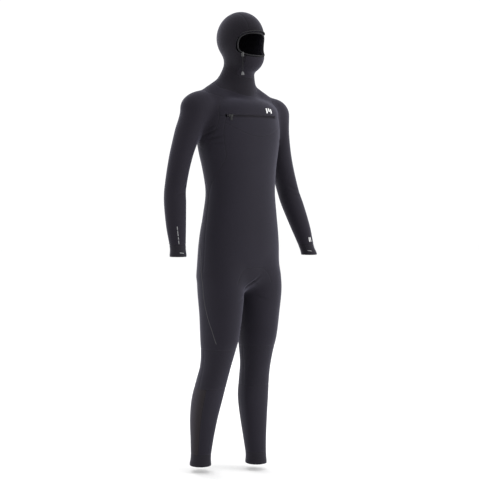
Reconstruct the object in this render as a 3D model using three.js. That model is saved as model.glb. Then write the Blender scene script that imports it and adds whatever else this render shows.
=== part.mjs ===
// Hooded full wetsuit, hung as it is worn: every neoprene panel, seal, zip part and hood fitting
// is its own closed solid.  Millimetres, +Z up, the figure faces -Y and its right side is -X.
// The origin is the middle of the neck base, level with the shoulders that carry the suit.
import * as THREE from 'three';

// ---- driving dimensions -----------------------------------------------------------------------
const BODY_THICKNESS = 4.5;        // neoprene of the torso and hood
const LIMB_THICKNESS = 4;          // thinner, stretchier neoprene of the sleeves and legs
const SEAL_THICKNESS = 3;          // wrist and ankle seals
const SEAM_GAP = 0.3;              // glue line left open between neighbouring panels
const TORSO_LENGTH = 770;          // neck base down to the crotch
const LEG_LENGTH = 678;            // crotch down to the ankle hem
const ARM_LENGTH = 544;            // shoulder cap down to the wrist hem
const WRIST_SEAL_LENGTH = 42;
const ANKLE_SEAL_LENGTH = 46;
const ZIP_DROP = TORSO_LENGTH * (101 / 770);   // neck base down to the chest zip
const ZIP_LENGTH = 228;
const ZIP_SHIFT = -8;              // the zip sits a little to the wearer's right
const ZIP_SLOT_HEIGHT = 11;
const TAPE_THICKNESS = 1.6;
const TEETH_WIDTH = 2.6;           // one side's row of teeth
const TEETH_THICKNESS = 3.4;
const FACE_HALF_WIDTH = 66;        // face opening
const FACE_HALF_HEIGHT = 47;
const FACE_HEIGHT = 165;           // its middle, above the neck base
const BINDING_WIDTH = 5;
const PEAK_LENGTH = 13;            // how far the little peak stands out over the face
const PEAK_THICKNESS = 3.4;
const CORD_DIAMETER = 2.6;
const LOCK_RADIUS = 5.2;
const LOCK_LENGTH = 13;
const BARRIER_HEIGHT = 38;         // inner neck seal
const PIPING_WIDTH = 5;
const SHOULDER_ZONE = ARM_LENGTH * (80 / 544); // lengths of the stretch zones that bend at each joint
const ELBOW_ZONE = ARM_LENGTH * (100 / 544);
const HIP_ZONE = 150;
const KNEE_ZONE = 156;
const NECK_ZONE = 50;

// ---- body form: stations of height share, middle x and y, half width, front depth, back depth --
const CROTCH = -TORSO_LENGTH;
const TORSO = stations(0, TORSO_LENGTH, [
  [0.909, 6, 8, 164, 104, 120], [0.805, 7, 6, 168, 108, 124], [0.714, 6, 3, 164, 106, 116],
  [0.610, 5, -1, 153, 102, 104], [0.500, 4, -3, 144, 100, 95], [0.390, 2, 0, 151, 107, 105],
  [0.286, 0, 2, 165, 115, 118], [0.208, 0, 3, 172, 118, 121], [0.117, 0, 6, 167, 112, 117]]);
const RIGHT_ARM = stations(-75, ARM_LENGTH, [
  [0, 195, 12, 57, 58, 58], [0.153, 221, 22, 50, 54, 54], [0.333, 249, 32, 43, 46, 47],
  [0.544, 273, 33, 40, 41, 43], [0.640, 281, 23, 41, 41, 43], [0.802, 293, 0, 36, 38, 38],
  [0.946, 303, -25, 29, 30, 30], [1, 307, -32, 31, 32, 32]]);
const LEFT_ARM = stations(-88, ARM_LENGTH + 4, [
  [0, 189, 12, 55, 56, 58], [0.133, 204, 22, 49, 53, 54], [0.317, 237, 36, 45, 48, 48],
  [0.533, 281, 42, 43, 44, 47], [0.631, 295, 32, 45, 45, 46], [0.797, 313, 4, 39, 41, 40],
  [0.945, 327, -20, 30, 30, 31], [1, 331, -30, 32, 32, 32]]);
const RIGHT_LEG = stations(CROTCH, LEG_LENGTH, [
  [-0.290, 78, 4, 58, 70, 76], [-0.179, 83, 4, 72, 88, 92], [-0.104, 87, 2, 80, 97, 99],
  [-0.015, 88, 0, 81, 98, 98], [0.119, 89, 2, 76, 92, 82], [0.254, 92, 6, 68, 84, 74],
  [0.343, 94, 12, 61, 68, 66], [0.418, 95, 24, 55, 62, 66], [0.493, 96, 40, 54, 58, 74],
  [0.612, 96, 68, 54, 52, 80], [0.731, 97, 90, 49, 46, 70], [0.866, 98, 106, 41, 41, 52],
  [0.955, 99, 114, 38, 40, 42], [1, 99, 117, 41, 43, 43]]);
const LEFT_LEG = stations(CROTCH, LEG_LENGTH, [
  [-0.290, 80, 4, 58, 70, 76], [-0.179, 86, 4, 74, 88, 96], [-0.104, 91, 2, 83, 98, 106],
  [-0.015, 93, 0, 85, 99, 104], [0.119, 93, 2, 78, 92, 90], [0.254, 93, 6, 70, 84, 80],
  [0.343, 92, 8, 62, 68, 72], [0.418, 91, 10, 56, 59, 68], [0.493, 91, 12, 55, 50, 74],
  [0.612, 92, 16, 55, 44, 82], [0.731, 94, 18, 49, 42, 72], [0.866, 97, 18, 42, 39, 54],
  [0.955, 100, 19, 39, 40, 43], [1, 100, 19, 41, 43, 44]]);
const HEAD = { centre: [0, -8, 199], radii: [82, 103, 97] };
const JAW = { centre: [0, -50, 126], radii: [62, 70, 66] };
const NECK = { from: [0, 14, -20], to: [0, -6, 130], radii: [62, 57] };
const YOKES = [
  { from: [0, 24, 32], to: [-158, 10, -52], radii: [50, 44] },
  { from: [0, 24, 20], to: [158, 10, -70], radii: [44, 44] }];

function stations(top, length, rows) {
  return rows.map(([share, ...rest]) => [top - share * length, ...rest]).sort((a, b) => a[0] - b[0]);
}

// Smooth curve through the stations: a cubic between each two, level at the ends.
function section(rows, z) {
  const last = rows.length - 1;
  const height = Math.min(Math.max(z, rows[0][0]), rows[last][0]);
  let i = 0;
  while (i < last - 1 && rows[i + 1][0] < height) i++;
  const slope = (k, c) => (k === 0 || k === last ? 0
    : (rows[k + 1][c] - rows[k - 1][c]) / (rows[k + 1][0] - rows[k - 1][0]));
  const step = rows[i + 1][0] - rows[i][0];
  const t = (height - rows[i][0]) / step;
  const out = [];
  for (let c = 1; c < rows[0].length; c++) {
    out.push((1 + 2 * t) * (1 - t) ** 2 * rows[i][c] + t * (1 - t) ** 2 * step * slope(i, c)
      + t * t * (3 - 2 * t) * rows[i + 1][c] + t * t * (t - 1) * step * slope(i + 1, c));
  }
  return out;
}

function chain(p, rows, side, power, capTop, capBottom) {
  const [cx, cy, halfWidth, front, back] = section(rows, p.z);
  const x = p.x * side - cx;
  const y = p.y - cy;
  const above = Math.max(p.z - rows[rows.length - 1][0], 0);
  const below = capBottom ? Math.max(rows[0][0] - p.z, 0) : 0;
  const depth = y < 0 ? front : back;
  const flat = (Math.abs(x / halfWidth) ** power + Math.abs(y / depth) ** power) ** (1 / power);
  const q = Math.hypot(flat, above / capTop + (capBottom ? below / capBottom : 0));
  return (Math.hypot(x, y, above, below) + 1e-6) * (1 - 1 / Math.max(q, 1e-3));
}

function ellipsoid(p, { centre, radii }) {
  const d = [p.x - centre[0], p.y - centre[1], p.z - centre[2]];
  const q = Math.hypot(d[0] / radii[0], d[1] / radii[1], d[2] / radii[2]);
  return Math.hypot(...d) * (1 - 1 / Math.max(q, 1e-3));
}

function cone(p, { from, to, radii }) {
  const axis = to.map((v, i) => v - from[i]);
  const d = [p.x - from[0], p.y - from[1], p.z - from[2]];
  const dot = d[0] * axis[0] + d[1] * axis[1] + d[2] * axis[2];
  const h = THREE.MathUtils.clamp(dot / (axis[0] ** 2 + axis[1] ** 2 + axis[2] ** 2), 0, 1);
  return Math.hypot(...d.map((v, i) => v - h * axis[i])) - (radii[0] + (radii[1] - radii[0]) * h);
}

function join(a, b, softness) {
  const h = Math.max(softness - Math.abs(a - b), 0) / softness;
  return Math.min(a, b) - h * h * softness / 4;
}

// Signed distance-like values, below zero inside: the suit without its sleeves, then the whole suit.
function bareSkin(p) {
  let d = chain(p, TORSO, 1, 2.3, 72, 70);
  d = join(d, chain(p, RIGHT_LEG, -1, 2.1, 70, 0), 24);
  d = join(d, chain(p, LEFT_LEG, 1, 2.1, 70, 0), 24);
  d = join(d, cone(p, YOKES[0]), 36);
  d = join(d, cone(p, YOKES[1]), 36);
  const head = join(join(ellipsoid(p, HEAD), ellipsoid(p, JAW), 30), cone(p, NECK), 24);
  return join(d, head, 36);
}

function skin(p) {
  const d = join(bareSkin(p), chain(p, RIGHT_ARM, -1, 2, 58, 0), 34);
  return join(d, chain(p, LEFT_ARM, 1, 2, 58, 0), 34);
}

// ---- finding points on the skin -----------------------------------------------------------------
function slopeOf(f, p, h = 0.5) {
  const at = (x, y, z) => f(new THREE.Vector3(p.x + x, p.y + y, p.z + z));
  return new THREE.Vector3(at(h, 0, 0) - at(-h, 0, 0), at(0, h, 0) - at(0, -h, 0), at(0, 0, h) - at(0, 0, -h))
    .divideScalar(2 * h);
}

const normalAt = (p, f = skin) => slopeOf(f, p).normalize();

// First way out of the skin along a ray that starts inside.
function cast(origin, direction, f = skin, far = 420) {
  const at = (t) => origin.clone().addScaledVector(direction, t);
  const steps = 84;
  let high = far;
  for (let i = 1; i <= steps; i++) {
    if (f(at(far * i / steps)) > 0) {
      high = far * i / steps;
      break;
    }
  }
  let low = high - far / steps;
  for (let i = 0; i < 16; i++) {
    const middle = (low + high) / 2;
    if (f(at(middle)) > 0) high = middle;
    else low = middle;
  }
  return at(high);
}

function settle(p, f = skin) {
  for (let i = 0; i < 8; i++) {
    const g = slopeOf(f, p);
    p.addScaledVector(g, -f(p) / Math.max(g.lengthSq(), 0.2));
  }
  return p;
}

// Onto the skin and onto each seam that runs through the point.
function settleOnSeams(p, seams, f = skin) {
  for (let i = 0; i < 6; i++) {
    settle(p, f);
    for (const seam of seams) {
      const g = slopeOf(seam.f, p);
      const n = normalAt(p, f);
      g.addScaledVector(n, -g.dot(n));
      p.addScaledVector(g, -seam.f(p) / Math.max(g.lengthSq(), 0.05));
    }
  }
  return p;
}

// ---- skins: polygon meshes that are split along seams and thickened into panels --------------------
const plane = (point, normal) => {
  const n = new THREE.Vector3(...normal).normalize();
  const offset = n.dot(new THREE.Vector3(...point));
  return { f: (p) => n.dot(p) - offset, normal: n };
};

// Rings of points, lowest first, each counter-clockwise seen from above.
function skinOfRings(rings, field = skin, marks = {}) {
  const count = rings[0].length;
  const points = rings.flatMap((ring, r) => ring.map((p) => ({ p, seams: marks[r] ? [marks[r]] : [] })));
  const faces = [];
  for (let r = 0; r < rings.length - 1; r++) {
    for (let c = 0; c < count; c++) {
      const d = (c + 1) % count;
      faces.push([r * count + c, r * count + d, (r + 1) * count + d, (r + 1) * count + c]);
    }
  }
  return { points, faces, field };
}

function closeTop(mesh, count, point) {
  const first = mesh.points.length - count;
  mesh.points.push({ p: point, seams: [] });
  for (let c = 0; c < count; c++) {
    mesh.faces.push([first + c, first + (c + 1) % count, mesh.points.length - 1]);
  }
}

// Puts an edge along seam.f = 0 through the faces that lie where the seam runs.
function split(mesh, seam, { snap = 4, where = () => true } = {}) {
  const values = mesh.points.map(({ p }) => seam.f(p));
  const crossed = new Set(mesh.faces.filter((face) => where(middleOf(mesh, face))));
  const near = new Set([...crossed].flat());
  mesh.points.forEach((point, i) => {
    if (!near.has(i) || Math.abs(values[i]) > (point.seams.length ? snap / 4 : snap)) return;
    point.seams.push(seam);
    settleOnSeams(point.p, point.seams, mesh.field);
    values[i] = 0;
  });
  const made = new Map();
  const key = (a, b) => (a < b ? `${a},${b}` : `${b},${a}`);
  const cross = (a, b) => {
    const from = mesh.points[a];
    const to = mesh.points[b];
    const seams = [...from.seams.filter((s) => to.seams.includes(s)), seam];
    const p = from.p.clone().lerp(to.p, values[a] / (values[a] - values[b]));
    mesh.points.push({ p: settleOnSeams(p, seams, mesh.field), seams });
    values.push(0);
    made.set(key(a, b), mesh.points.length - 1);
  };
  for (const face of crossed) {
    face.forEach((i, k) => {
      const j = face[(k + 1) % face.length];
      if (values[i] * values[j] < 0 && !made.has(key(i, j))) cross(i, j);
    });
  }
  const faces = [];
  for (const face of mesh.faces) {
    const loop = face.flatMap((i, k) => {
      const middle = made.get(key(i, face[(k + 1) % face.length]));
      return middle === undefined ? [i] : [i, middle];
    });
    const sides = [1, -1].map((side) => loop.filter((i) => values[i] * side >= 0));
    const parted = sides.every((side) => side.length > 2 && side.length < loop.length);
    if (crossed.has(face) && parted) faces.push(...sides);
    else faces.push(loop);
  }
  mesh.faces = faces;
  return mesh;
}

const middleOf = (mesh, face) => face
  .reduce((sum, i) => sum.add(mesh.points[i].p), new THREE.Vector3()).divideScalar(face.length);

// The faces that belong to one panel, drawn back from its seams by half the gap and thickened inwards.
function panel(mesh, belongs, thickness) {
  const faces = mesh.faces.filter((face) => belongs(middleOf(mesh, face)));
  const edges = new Map();
  for (const face of faces) {
    face.forEach((a, k) => {
      const b = face[(k + 1) % face.length];
      edges.set(`${a},${b}`, [a, b, face]);
    });
  }
  const border = [...edges.values()].filter(([a, b]) => !edges.has(`${b},${a}`));
  const shifts = new Map();
  for (const [a, b, face] of border) {
    const shared = mesh.points[a].seams.filter((s) => mesh.points[b].seams.includes(s));
    for (const seam of shared) {
      const side = Math.sign(seam.f(middleOf(mesh, face)));
      for (const i of [a, b]) {
        if (!shifts.has(i)) shifts.set(i, new Map());
        shifts.get(i).set(seam, side);
      }
    }
  }
  const used = [...new Set(faces.flat())];
  const index = new Map(used.map((i, k) => [i, k]));
  const outer = [];
  const inner = [];
  for (const i of used) {
    const p = mesh.points[i].p.clone();
    const n = normalAt(p, mesh.field);
    const inward = n.clone();
    const planes = [];
    for (const [seam, side] of shifts.get(i) ?? []) {
      const g = slopeOf(seam.f, p);
      if (seam.normal) planes.push(seam.normal);
      else g.addScaledVector(n, -g.dot(n));
      p.addScaledVector(g.normalize(), side * SEAM_GAP / 2);
    }
    if (planes.length === 1) inward.addScaledVector(planes[0], -n.dot(planes[0])).normalize();
    if (planes.length > 1) {
      inward.crossVectors(planes[0], planes[1]).normalize();
      if (inward.dot(n) < 0) inward.negate();
    }
    outer.push(p);
    inner.push(p.clone().addScaledVector(inward, -thickness / Math.max(inward.dot(n), 0.6)));
  }
  const triangles = [];
  const fan = (loop) => {
    for (let k = 1; k < loop.length - 1; k++) triangles.push([loop[0], loop[k], loop[k + 1]]);
  };
  for (const face of faces) {
    const loop = face.map((i) => index.get(i));
    fan(loop);
    fan(loop.map((i) => i + used.length).reverse());
  }
  for (const [a, b] of border) {
    const [i, j] = [index.get(a), index.get(b)];
    const wall = [j, i, i + used.length, j + used.length];
    const [p, q] = [mesh.points[a].p, mesh.points[b].p];
    const turned = p.z + p.y / 16 > q.z + q.y / 16;
    fan(turned ? [wall[1], wall[2], wall[3], wall[0]] : wall);
  }
  return solid([...outer, ...inner], triangles);
}

function solid(points, triangles) {
  const geometry = new THREE.BufferGeometry();
  geometry.setAttribute('position', new THREE.Float32BufferAttribute(points.flatMap((p) => [p.x, p.y, p.z]), 3));
  geometry.setIndex(triangles.flat());
  geometry.computeVertexNormals();
  return geometry;
}

// Loops of points joined one to the next; the row either closes on itself or is capped at both ends
// with the triangles of its flat section.
function loft(loops, { closed = false, flat = null } = {}) {
  const count = loops[0].length;
  const triangles = [];
  const rows = closed ? loops.length : loops.length - 1;
  for (let r = 0; r < rows; r++) {
    const next = ((r + 1) % loops.length) * count;
    for (let c = 0; c < count; c++) {
      const d = (c + 1) % count;
      triangles.push([r * count + c, r * count + d, next + d], [r * count + c, next + d, next + c]);
    }
  }
  if (!closed) {
    const last = (loops.length - 1) * count;
    const caps = flat ? THREE.ShapeUtils.triangulateShape(flat, [])
      : Array.from({ length: count - 2 }, (_, c) => [0, c + 1, c + 2]);
    const turned = flat !== null && THREE.ShapeUtils.area(flat) < 0;
    for (const [a, b, c] of caps) {
      const cap = turned ? [a, c, b] : [a, b, c];
      triangles.push([cap[0], cap[2], cap[1]], cap.map((i) => last + i));
    }
  }
  return solid(...facingOut(loops.flat(), triangles));
}

function facingOut(points, triangles) {
  const volume = triangles.reduce((sum, [a, b, c]) => sum
    + points[a].dot(new THREE.Vector3().crossVectors(points[b], points[c])), 0);
  return [points, volume > 0 ? triangles : triangles.map(([a, b, c]) => [a, c, b])];
}

// ---- the assembly ----------------------------------------------------------------------------------
const group = new THREE.Group();
const NEOPRENE = new THREE.MeshStandardMaterial({ color: 0x33323a, roughness: 0.75, metalness: 0 });
const HOOD_NEOPRENE = new THREE.MeshStandardMaterial({ color: 0x27242b, roughness: 0.8, metalness: 0 });
const GRIP_PRINT = new THREE.MeshStandardMaterial({ color: 0x35312f, roughness: 0.6, metalness: 0 });
const RUBBER = new THREE.MeshStandardMaterial({ color: 0x1d1c20, roughness: 0.5, metalness: 0 });
const ZIP_PLASTIC = new THREE.MeshStandardMaterial({ color: 0x1a1a1d, roughness: 0.4, metalness: 0 });
const ZIP_CLOTH = new THREE.MeshStandardMaterial({ color: 0x242329, roughness: 0.9, metalness: 0 });
const PALE_TRIM = new THREE.MeshStandardMaterial({ color: 0xb9b9bd, roughness: 0.5, metalness: 0 });

function add(name, geometry, material) {
  const mesh = new THREE.Mesh(geometry, material);
  mesh.name = name;
  group.add(mesh);
}

const v = (x, y, z) => new THREE.Vector3(x, y, z);
const smooth = (value, from, to) => THREE.MathUtils.smoothstep(value, from, to);
const ringAngles = (count) => Array.from({ length: count }, (_, c) => 2 * Math.PI * c / count);

// ---- seams of the torso --------------------------------------------------------------------------
const NECK_TILT = 0.8;             // the neck seam dips to the front
const NECK_SEAM_HEIGHT = 24;
const neckSeam = plane([0, 0, NECK_SEAM_HEIGHT], [0, -NECK_TILT, 1]);
const GROIN_TILT = 0.506;
const groinSeams = {
  right: plane([0, 0, CROTCH], [GROIN_TILT, 0, 1]),
  left: plane([0, 0, CROTCH], [-GROIN_TILT, 0, 1]),
};
const ARMHOLE = {
  right: { y: 12, z: -112, depth: 76, height: 108 },
  left: { y: 12, z: -130, depth: 76, height: 114 },
};
const ARMHOLE_REACH = 96;          // the armhole goes no nearer to the middle than this
const armholeSeam = (name, side) => ({
  f: (p) => {
    const hole = ARMHOLE[name];
    const oval = (Math.hypot((p.y - hole.y) / hole.depth, (p.z - hole.z) / hole.height) - 1) * hole.depth;
    return Math.max(oval, ARMHOLE_REACH - side * p.x);
  },
});
const armholeSeams = { right: armholeSeam('right', -1), left: armholeSeam('left', 1) };
const YOKE_SEAM = plane([0, 0, -ZIP_DROP], [0, 0, 1]);
const SHOULDER_SEAM = plane([0, 14, 0], [0, 1, 0]);
const SCOOP_DROP = 176;
const scoopSeam = { f: (p) => p.z + SCOOP_DROP - 36 * ((p.x - 10) / 115) ** 2 };
const SIDE_PANEL_END = -0.53 * TORSO_LENGTH;
const SIDE_SEAM_Y = 5;
const sideFront = (z) => THREE.MathUtils.lerp(-80, SIDE_SEAM_Y, smooth(-z, 240, -SIDE_PANEL_END));
const sideBack = (z) => THREE.MathUtils.lerp(94, SIDE_SEAM_Y, smooth(-z, 240, -SIDE_PANEL_END));
const frontSeam = { f: (p) => p.y - sideFront(p.z) };
const backSeam = { f: (p) => p.y - sideBack(p.z) };
const SEAT_SEAM = { f: (p) => p.z + 0.62 * TORSO_LENGTH + 26 * (p.x / 150) ** 2 };
const gussetTop = (x) => CROTCH + 100 - 50 * (x / 78) ** 4;
const gussetSeam = { f: (p) => p.z - gussetTop(p.x) };
const slotMiddle = ZIP_SHIFT;
const slotReach = ZIP_LENGTH / 2 + 1;
const slotSeams = {
  top: plane([0, 0, -ZIP_DROP + ZIP_SLOT_HEIGHT / 2], [0, 0, 1]),
  bottom: plane([0, 0, -ZIP_DROP - ZIP_SLOT_HEIGHT / 2], [0, 0, 1]),
  right: plane([slotMiddle - slotReach, 0, 0], [1, 0, 0]),
  left: plane([slotMiddle + slotReach, 0, 0], [1, 0, 0]),
};
const inSlot = (p) => p.y < 0 && slotSeams.top.f(p) < 0 && slotSeams.bottom.f(p) > 0
  && slotSeams.right.f(p) > 0 && slotSeams.left.f(p) < 0;
const nearSlot = (p) => p.y < 0 && Math.abs(p.z + ZIP_DROP) < ZIP_SLOT_HEIGHT + 14
  && Math.abs(p.x - slotMiddle) < slotReach + 16;

// ---- torso ---------------------------------------------------------------------------------------
const TORSO_COLUMNS = 30;
const TORSO_HEIGHTS = [-4, 24, 52, 90, 130, 172, 216, 262, 308, 354, 400, 446, 492, 530, 556, 578,
  598, 616, 633, 650].map((up) => CROTCH + up)
  .concat([-105, -92, -78, -65, -52, -40, -28, -15, -2, 14, 32, 54, 80]);
const torsoRings = TORSO_HEIGHTS.map((z) => {
  const middle = section(TORSO, z);
  const armReach = 110 * smooth(z, -300, -210) * (1 - smooth(z, -70, -10));
  const reach = armReach + 40 * (1 - smooth(z, CROTCH + 60, CROTCH + 200));
  return ringAngles(TORSO_COLUMNS).map((a) => {
    const origin = v(middle[0] + reach * Math.cos(a), middle[1], z);
    const p = cast(origin, v(Math.cos(a), Math.sin(a), 0), bareSkin);
    return armholeSeams.right.f(p) > 0 && armholeSeams.left.f(p) > 0 ? settle(p) : p;
  });
});
const torso = skinOfRings(torsoRings);
const NEAR_SNAP = 3;               // points this near an outline are moved onto it
const aboveRibs = (p) => p.z > -300;
for (const seam of Object.values(armholeSeams)) split(torso, seam, { snap: NEAR_SNAP, where: aboveRibs });
for (const seam of [neckSeam, groinSeams.right, groinSeams.left, YOKE_SEAM]) split(torso, seam);
for (const seam of Object.values(slotSeams)) split(torso, seam, { snap: 1.5, where: nearSlot });
const lateral = (p) => Math.abs(p.x) > 50 && p.z < -ZIP_DROP;
split(torso, frontSeam, { where: lateral });
split(torso, backSeam, { where: lateral });
split(torso, scoopSeam, { where: (p) => p.y < 0 && p.z < -ZIP_DROP - ZIP_SLOT_HEIGHT / 2 });
split(torso, SEAT_SEAM, { where: (p) => p.y > 0 });
split(torso, gussetSeam, { where: (p) => p.y < 0 && p.z < CROTCH + 160 });
split(torso, SHOULDER_SEAM, { where: (p) => p.z > -ZIP_DROP });

const onTorso = (p) => neckSeam.f(p) < 0 && groinSeams.right.f(p) > 0 && groinSeams.left.f(p) > 0
  && armholeSeams.right.f(p) > 0 && armholeSeams.left.f(p) > 0 && !inSlot(p);
const isYoke = (p) => YOKE_SEAM.f(p) > 0;
const isFront = (p) => frontSeam.f(p) < 0;
const isBack = (p) => backSeam.f(p) > 0;
const TORSO_PANELS = {
  front_yoke: (p) => isYoke(p) && SHOULDER_SEAM.f(p) < 0,
  back_yoke: (p) => isYoke(p) && SHOULDER_SEAM.f(p) > 0,
  chest_panel: (p) => !isYoke(p) && isFront(p) && scoopSeam.f(p) > 0,
  front_body_panel: (p) => isFront(p) && scoopSeam.f(p) < 0 && gussetSeam.f(p) > 0,
  crotch_gusset: (p) => isFront(p) && gussetSeam.f(p) < 0,
  right_side_panel: (p) => !isYoke(p) && !isFront(p) && !isBack(p) && p.x < 0,
  left_side_panel: (p) => !isYoke(p) && !isFront(p) && !isBack(p) && p.x > 0,
  back_panel: (p) => !isYoke(p) && isBack(p) && SEAT_SEAM.f(p) > 0,
  seat_panel: (p) => isBack(p) && SEAT_SEAM.f(p) < 0,
};
for (const [name, belongs] of Object.entries(TORSO_PANELS)) {
  add(name, panel(torso, (p) => onTorso(p) && belongs(p), BODY_THICKNESS), NEOPRENE);
}

// ---- sleeves -----------------------------------------------------------------------------------
const SIDES = { right: -1, left: 1 };
const ARMS = { right: RIGHT_ARM, left: LEFT_ARM };
const LEGS = { right: RIGHT_LEG, left: LEFT_LEG };
const ELBOW_HEIGHT = -75 - 0.544 * ARM_LENGTH;
const ARM_COLUMNS = 16;
const ARM_LEAN = 0.2;              // how far the elbow rings tilt with the arm
const SLEEVE_TILT = 1;             // the sleeve head is cut at 45 degrees
const SLEEVE_START = 400;          // distance of its plane, measured as side * x - z

const onAxis = (rows, side, z) => {
  const [x, y] = section(rows, z);
  return v(side * x, y, z);
};

// Where the limb's middle line goes through a plane.
function axisThrough(rows, side, seam) {
  let low = rows[0][0];
  let high = rows[rows.length - 1][0];
  for (let i = 0; i < 40; i++) {
    const z = (low + high) / 2;
    if (seam.f(onAxis(rows, side, z)) > 0) high = z;
    else low = z;
  }
  return onAxis(rows, side, low);
}

// A ring of skin points in a plane around the limb, counter-clockwise seen from above.
function ringAround(origin, normal, angles, field = skin) {
  const n = new THREE.Vector3(...normal).normalize();
  const e1 = v(0, 1, 0).addScaledVector(n, -n.y).normalize();
  const e2 = new THREE.Vector3().crossVectors(n, e1);
  const ray = (a) => e1.clone().multiplyScalar(Math.cos(a)).addScaledVector(e2, Math.sin(a));
  return angles.map((a) => cast(origin, ray(a), field));
}

// The points of the edges that a seam runs along.
function seamLoop(mesh, seam) {
  const on = (i) => mesh.points[i].seams.includes(seam);
  const starts = (face) => face.filter((i, k) => on(i) && on(face[(k + 1) % face.length]));
  const found = mesh.faces.flatMap(starts);
  return [...new Set(found)].map((i) => mesh.points[i].p);
}

// Triangles from the mesh's last ring to a loop of other points that lies on a seam.
function stitchToLoop(mesh, loop, seam, turn) {
  const low = mesh.points.length - ARM_COLUMNS;
  const high = mesh.points.length;
  mesh.points.push(...loop.map((p) => ({ p: p.clone(), seams: [seam] })));
  const lowTurn = (i) => 2 * Math.PI * i / ARM_COLUMNS;
  const highTurn = (j) => (j === loop.length ? 2 * Math.PI : turn(loop[j]));
  const faces = [];
  let i = 0;
  let j = 0;
  while (i < ARM_COLUMNS || j < loop.length) {
    const a = low + i % ARM_COLUMNS;
    const b = high + j % loop.length;
    if (j === loop.length || (i < ARM_COLUMNS && lowTurn(i + 1) < highTurn(j + 1))) {
      faces.push([a, low + (i + 1) % ARM_COLUMNS, b]);
      i++;
    } else {
      faces.push([a, high + (j + 1) % loop.length, b]);
      j++;
    }
  }
  mesh.faces.push(...faces);
  return faces;
}

function armPanels(name) {
  const side = SIDES[name];
  const rows = ARMS[name];
  const hole = ARMHOLE[name];
  const seam = armholeSeams[name];
  const angle = (p) => Math.atan2((p.z - hole.z) * -side, p.y - hole.y);
  const loop = seamLoop(torso, seam).sort((a, b) => angle(a) - angle(b));
  const angles = ringAngles(ARM_COLUMNS).map((a) => angle(loop[0]) + a);
  const turn = (p) => (angle(p) - angle(loop[0]) + 2 * Math.PI) % (2 * Math.PI);
  const onLoop = (a) => {
    const j = loop.findLastIndex((p) => turn(p) <= a);
    const next = loop[(j + 1) % loop.length];
    const width = (turn(next) - turn(loop[j]) + 2 * Math.PI) % (2 * Math.PI);
    return loop[j].clone().lerp(next, (a - turn(loop[j])) / width);
  };
  const up = [-side * SLEEVE_TILT, 0, 1];
  const lean = [-side * ARM_LEAN, 0, 1];
  const zoneStep = SHOULDER_ZONE * Math.hypot(1, SLEEVE_TILT);
  const sleevePlane = (k) => plane([side * (SLEEVE_START + zoneStep * k), 0, 0], up);
  const elbowMiddle = onAxis(rows, side, ELBOW_HEIGHT);
  const leanAxis = v(...lean).normalize();
  const elbowPlane = (along) => plane(elbowMiddle.clone().addScaledVector(leanAxis, along).toArray(), lean);
  const wristStart = plane([0, 0, rows[0][0] + WRIST_SEAL_LENGTH], [0, 0, 1]);
  const wristEnd = plane([0, 0, rows[0][0]], [0, 0, 1]);
  const ring = (seamPlane, normal) => ringAround(axisThrough(rows, side, seamPlane), normal, angles);

  const rings = [];
  const marks = {};
  const put = (points, seamPlane) => {
    if (seamPlane) marks[rings.length] = seamPlane;
    rings.push(points);
  };
  put(ringAround(onAxis(rows, side, rows[0][0]), [0, 0, 1], angles), wristEnd);
  put(ringAround(onAxis(rows, side, rows[0][0] + WRIST_SEAL_LENGTH / 2), [0, 0, 1], angles));
  put(ring(wristStart, [0, 0, 1]), wristStart);
  const elbowLow = elbowPlane(-ELBOW_ZONE / 2);
  const elbowHigh = elbowPlane(ELBOW_ZONE / 2);
  const wristTop = axisThrough(rows, side, wristStart);
  const lowTop = axisThrough(rows, side, elbowLow);
  for (const t of [0.25, 0.5, 0.75]) {
    const at = wristTop.clone().lerp(lowTop, t);
    put(ringAround(onAxis(rows, side, at.z), [-side * ARM_LEAN * t, 0, 1], angles));
  }
  put(ring(elbowLow, lean), elbowLow);
  for (const along of [-0.25, 0, 0.25]) put(ring(elbowPlane(along * ELBOW_ZONE), lean));
  put(ring(elbowHigh, lean), elbowHigh);
  const zoneEnd = sleevePlane(1);
  const highTop = axisThrough(rows, side, elbowHigh);
  const endTop = axisThrough(rows, side, zoneEnd);
  const between = highTop.clone().lerp(endTop, 0.5);
  put(ringAround(onAxis(rows, side, between.z), [-side * (ARM_LEAN + SLEEVE_TILT) / 2, 0, 1], angles));
  put(ring(zoneEnd, up), zoneEnd);
  for (const k of [0.75, 0.5, 0.25, 0]) put(ring(sleevePlane(k), up));
  const first = rings[rings.length - 1];
  const capAngles = ringAngles(ARM_COLUMNS);
  const towardsLoop = (t) => first.map((p, i) => settle(p.clone().lerp(onLoop(capAngles[i]), t)));
  for (const t of [0.3, 0.56, 0.8]) put(towardsLoop(t));

  const mesh = skinOfRings(rings, skin, marks);
  const rowOf = new Map();
  mesh.faces.forEach((face, i) => rowOf.set(face, Math.floor(i / ARM_COLUMNS)));
  for (const face of stitchToLoop(mesh, loop, seam, turn)) rowOf.set(face, rings.length - 1);
  const inRows = (from, to) => (f) => rowOf.get(f) >= from && rowOf.get(f) < to;
  const rowRange = (from, to) => ({ ...mesh, faces: mesh.faces.filter(inRows(from, to)) });
  const at = (s) => Number(Object.keys(marks).find((r) => marks[r] === s) ?? rings.length);
  const take = (from, to, thickness) => panel(rowRange(at(from), at(to)), () => true, thickness);
  add(`${name}_wrist_seal`, take(wristEnd, wristStart, SEAL_THICKNESS), RUBBER);
  add(`${name}_forearm_sleeve`, take(wristStart, elbowLow, LIMB_THICKNESS), NEOPRENE);
  add(`${name}_elbow_panel`, take(elbowLow, elbowHigh, LIMB_THICKNESS), NEOPRENE);
  add(`${name}_upper_sleeve`, take(elbowHigh, zoneEnd, LIMB_THICKNESS), NEOPRENE);
  add(`${name}_shoulder_panel`, take(zoneEnd, seam, LIMB_THICKNESS), NEOPRENE);
}
armPanels('right');
armPanels('left');

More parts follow.
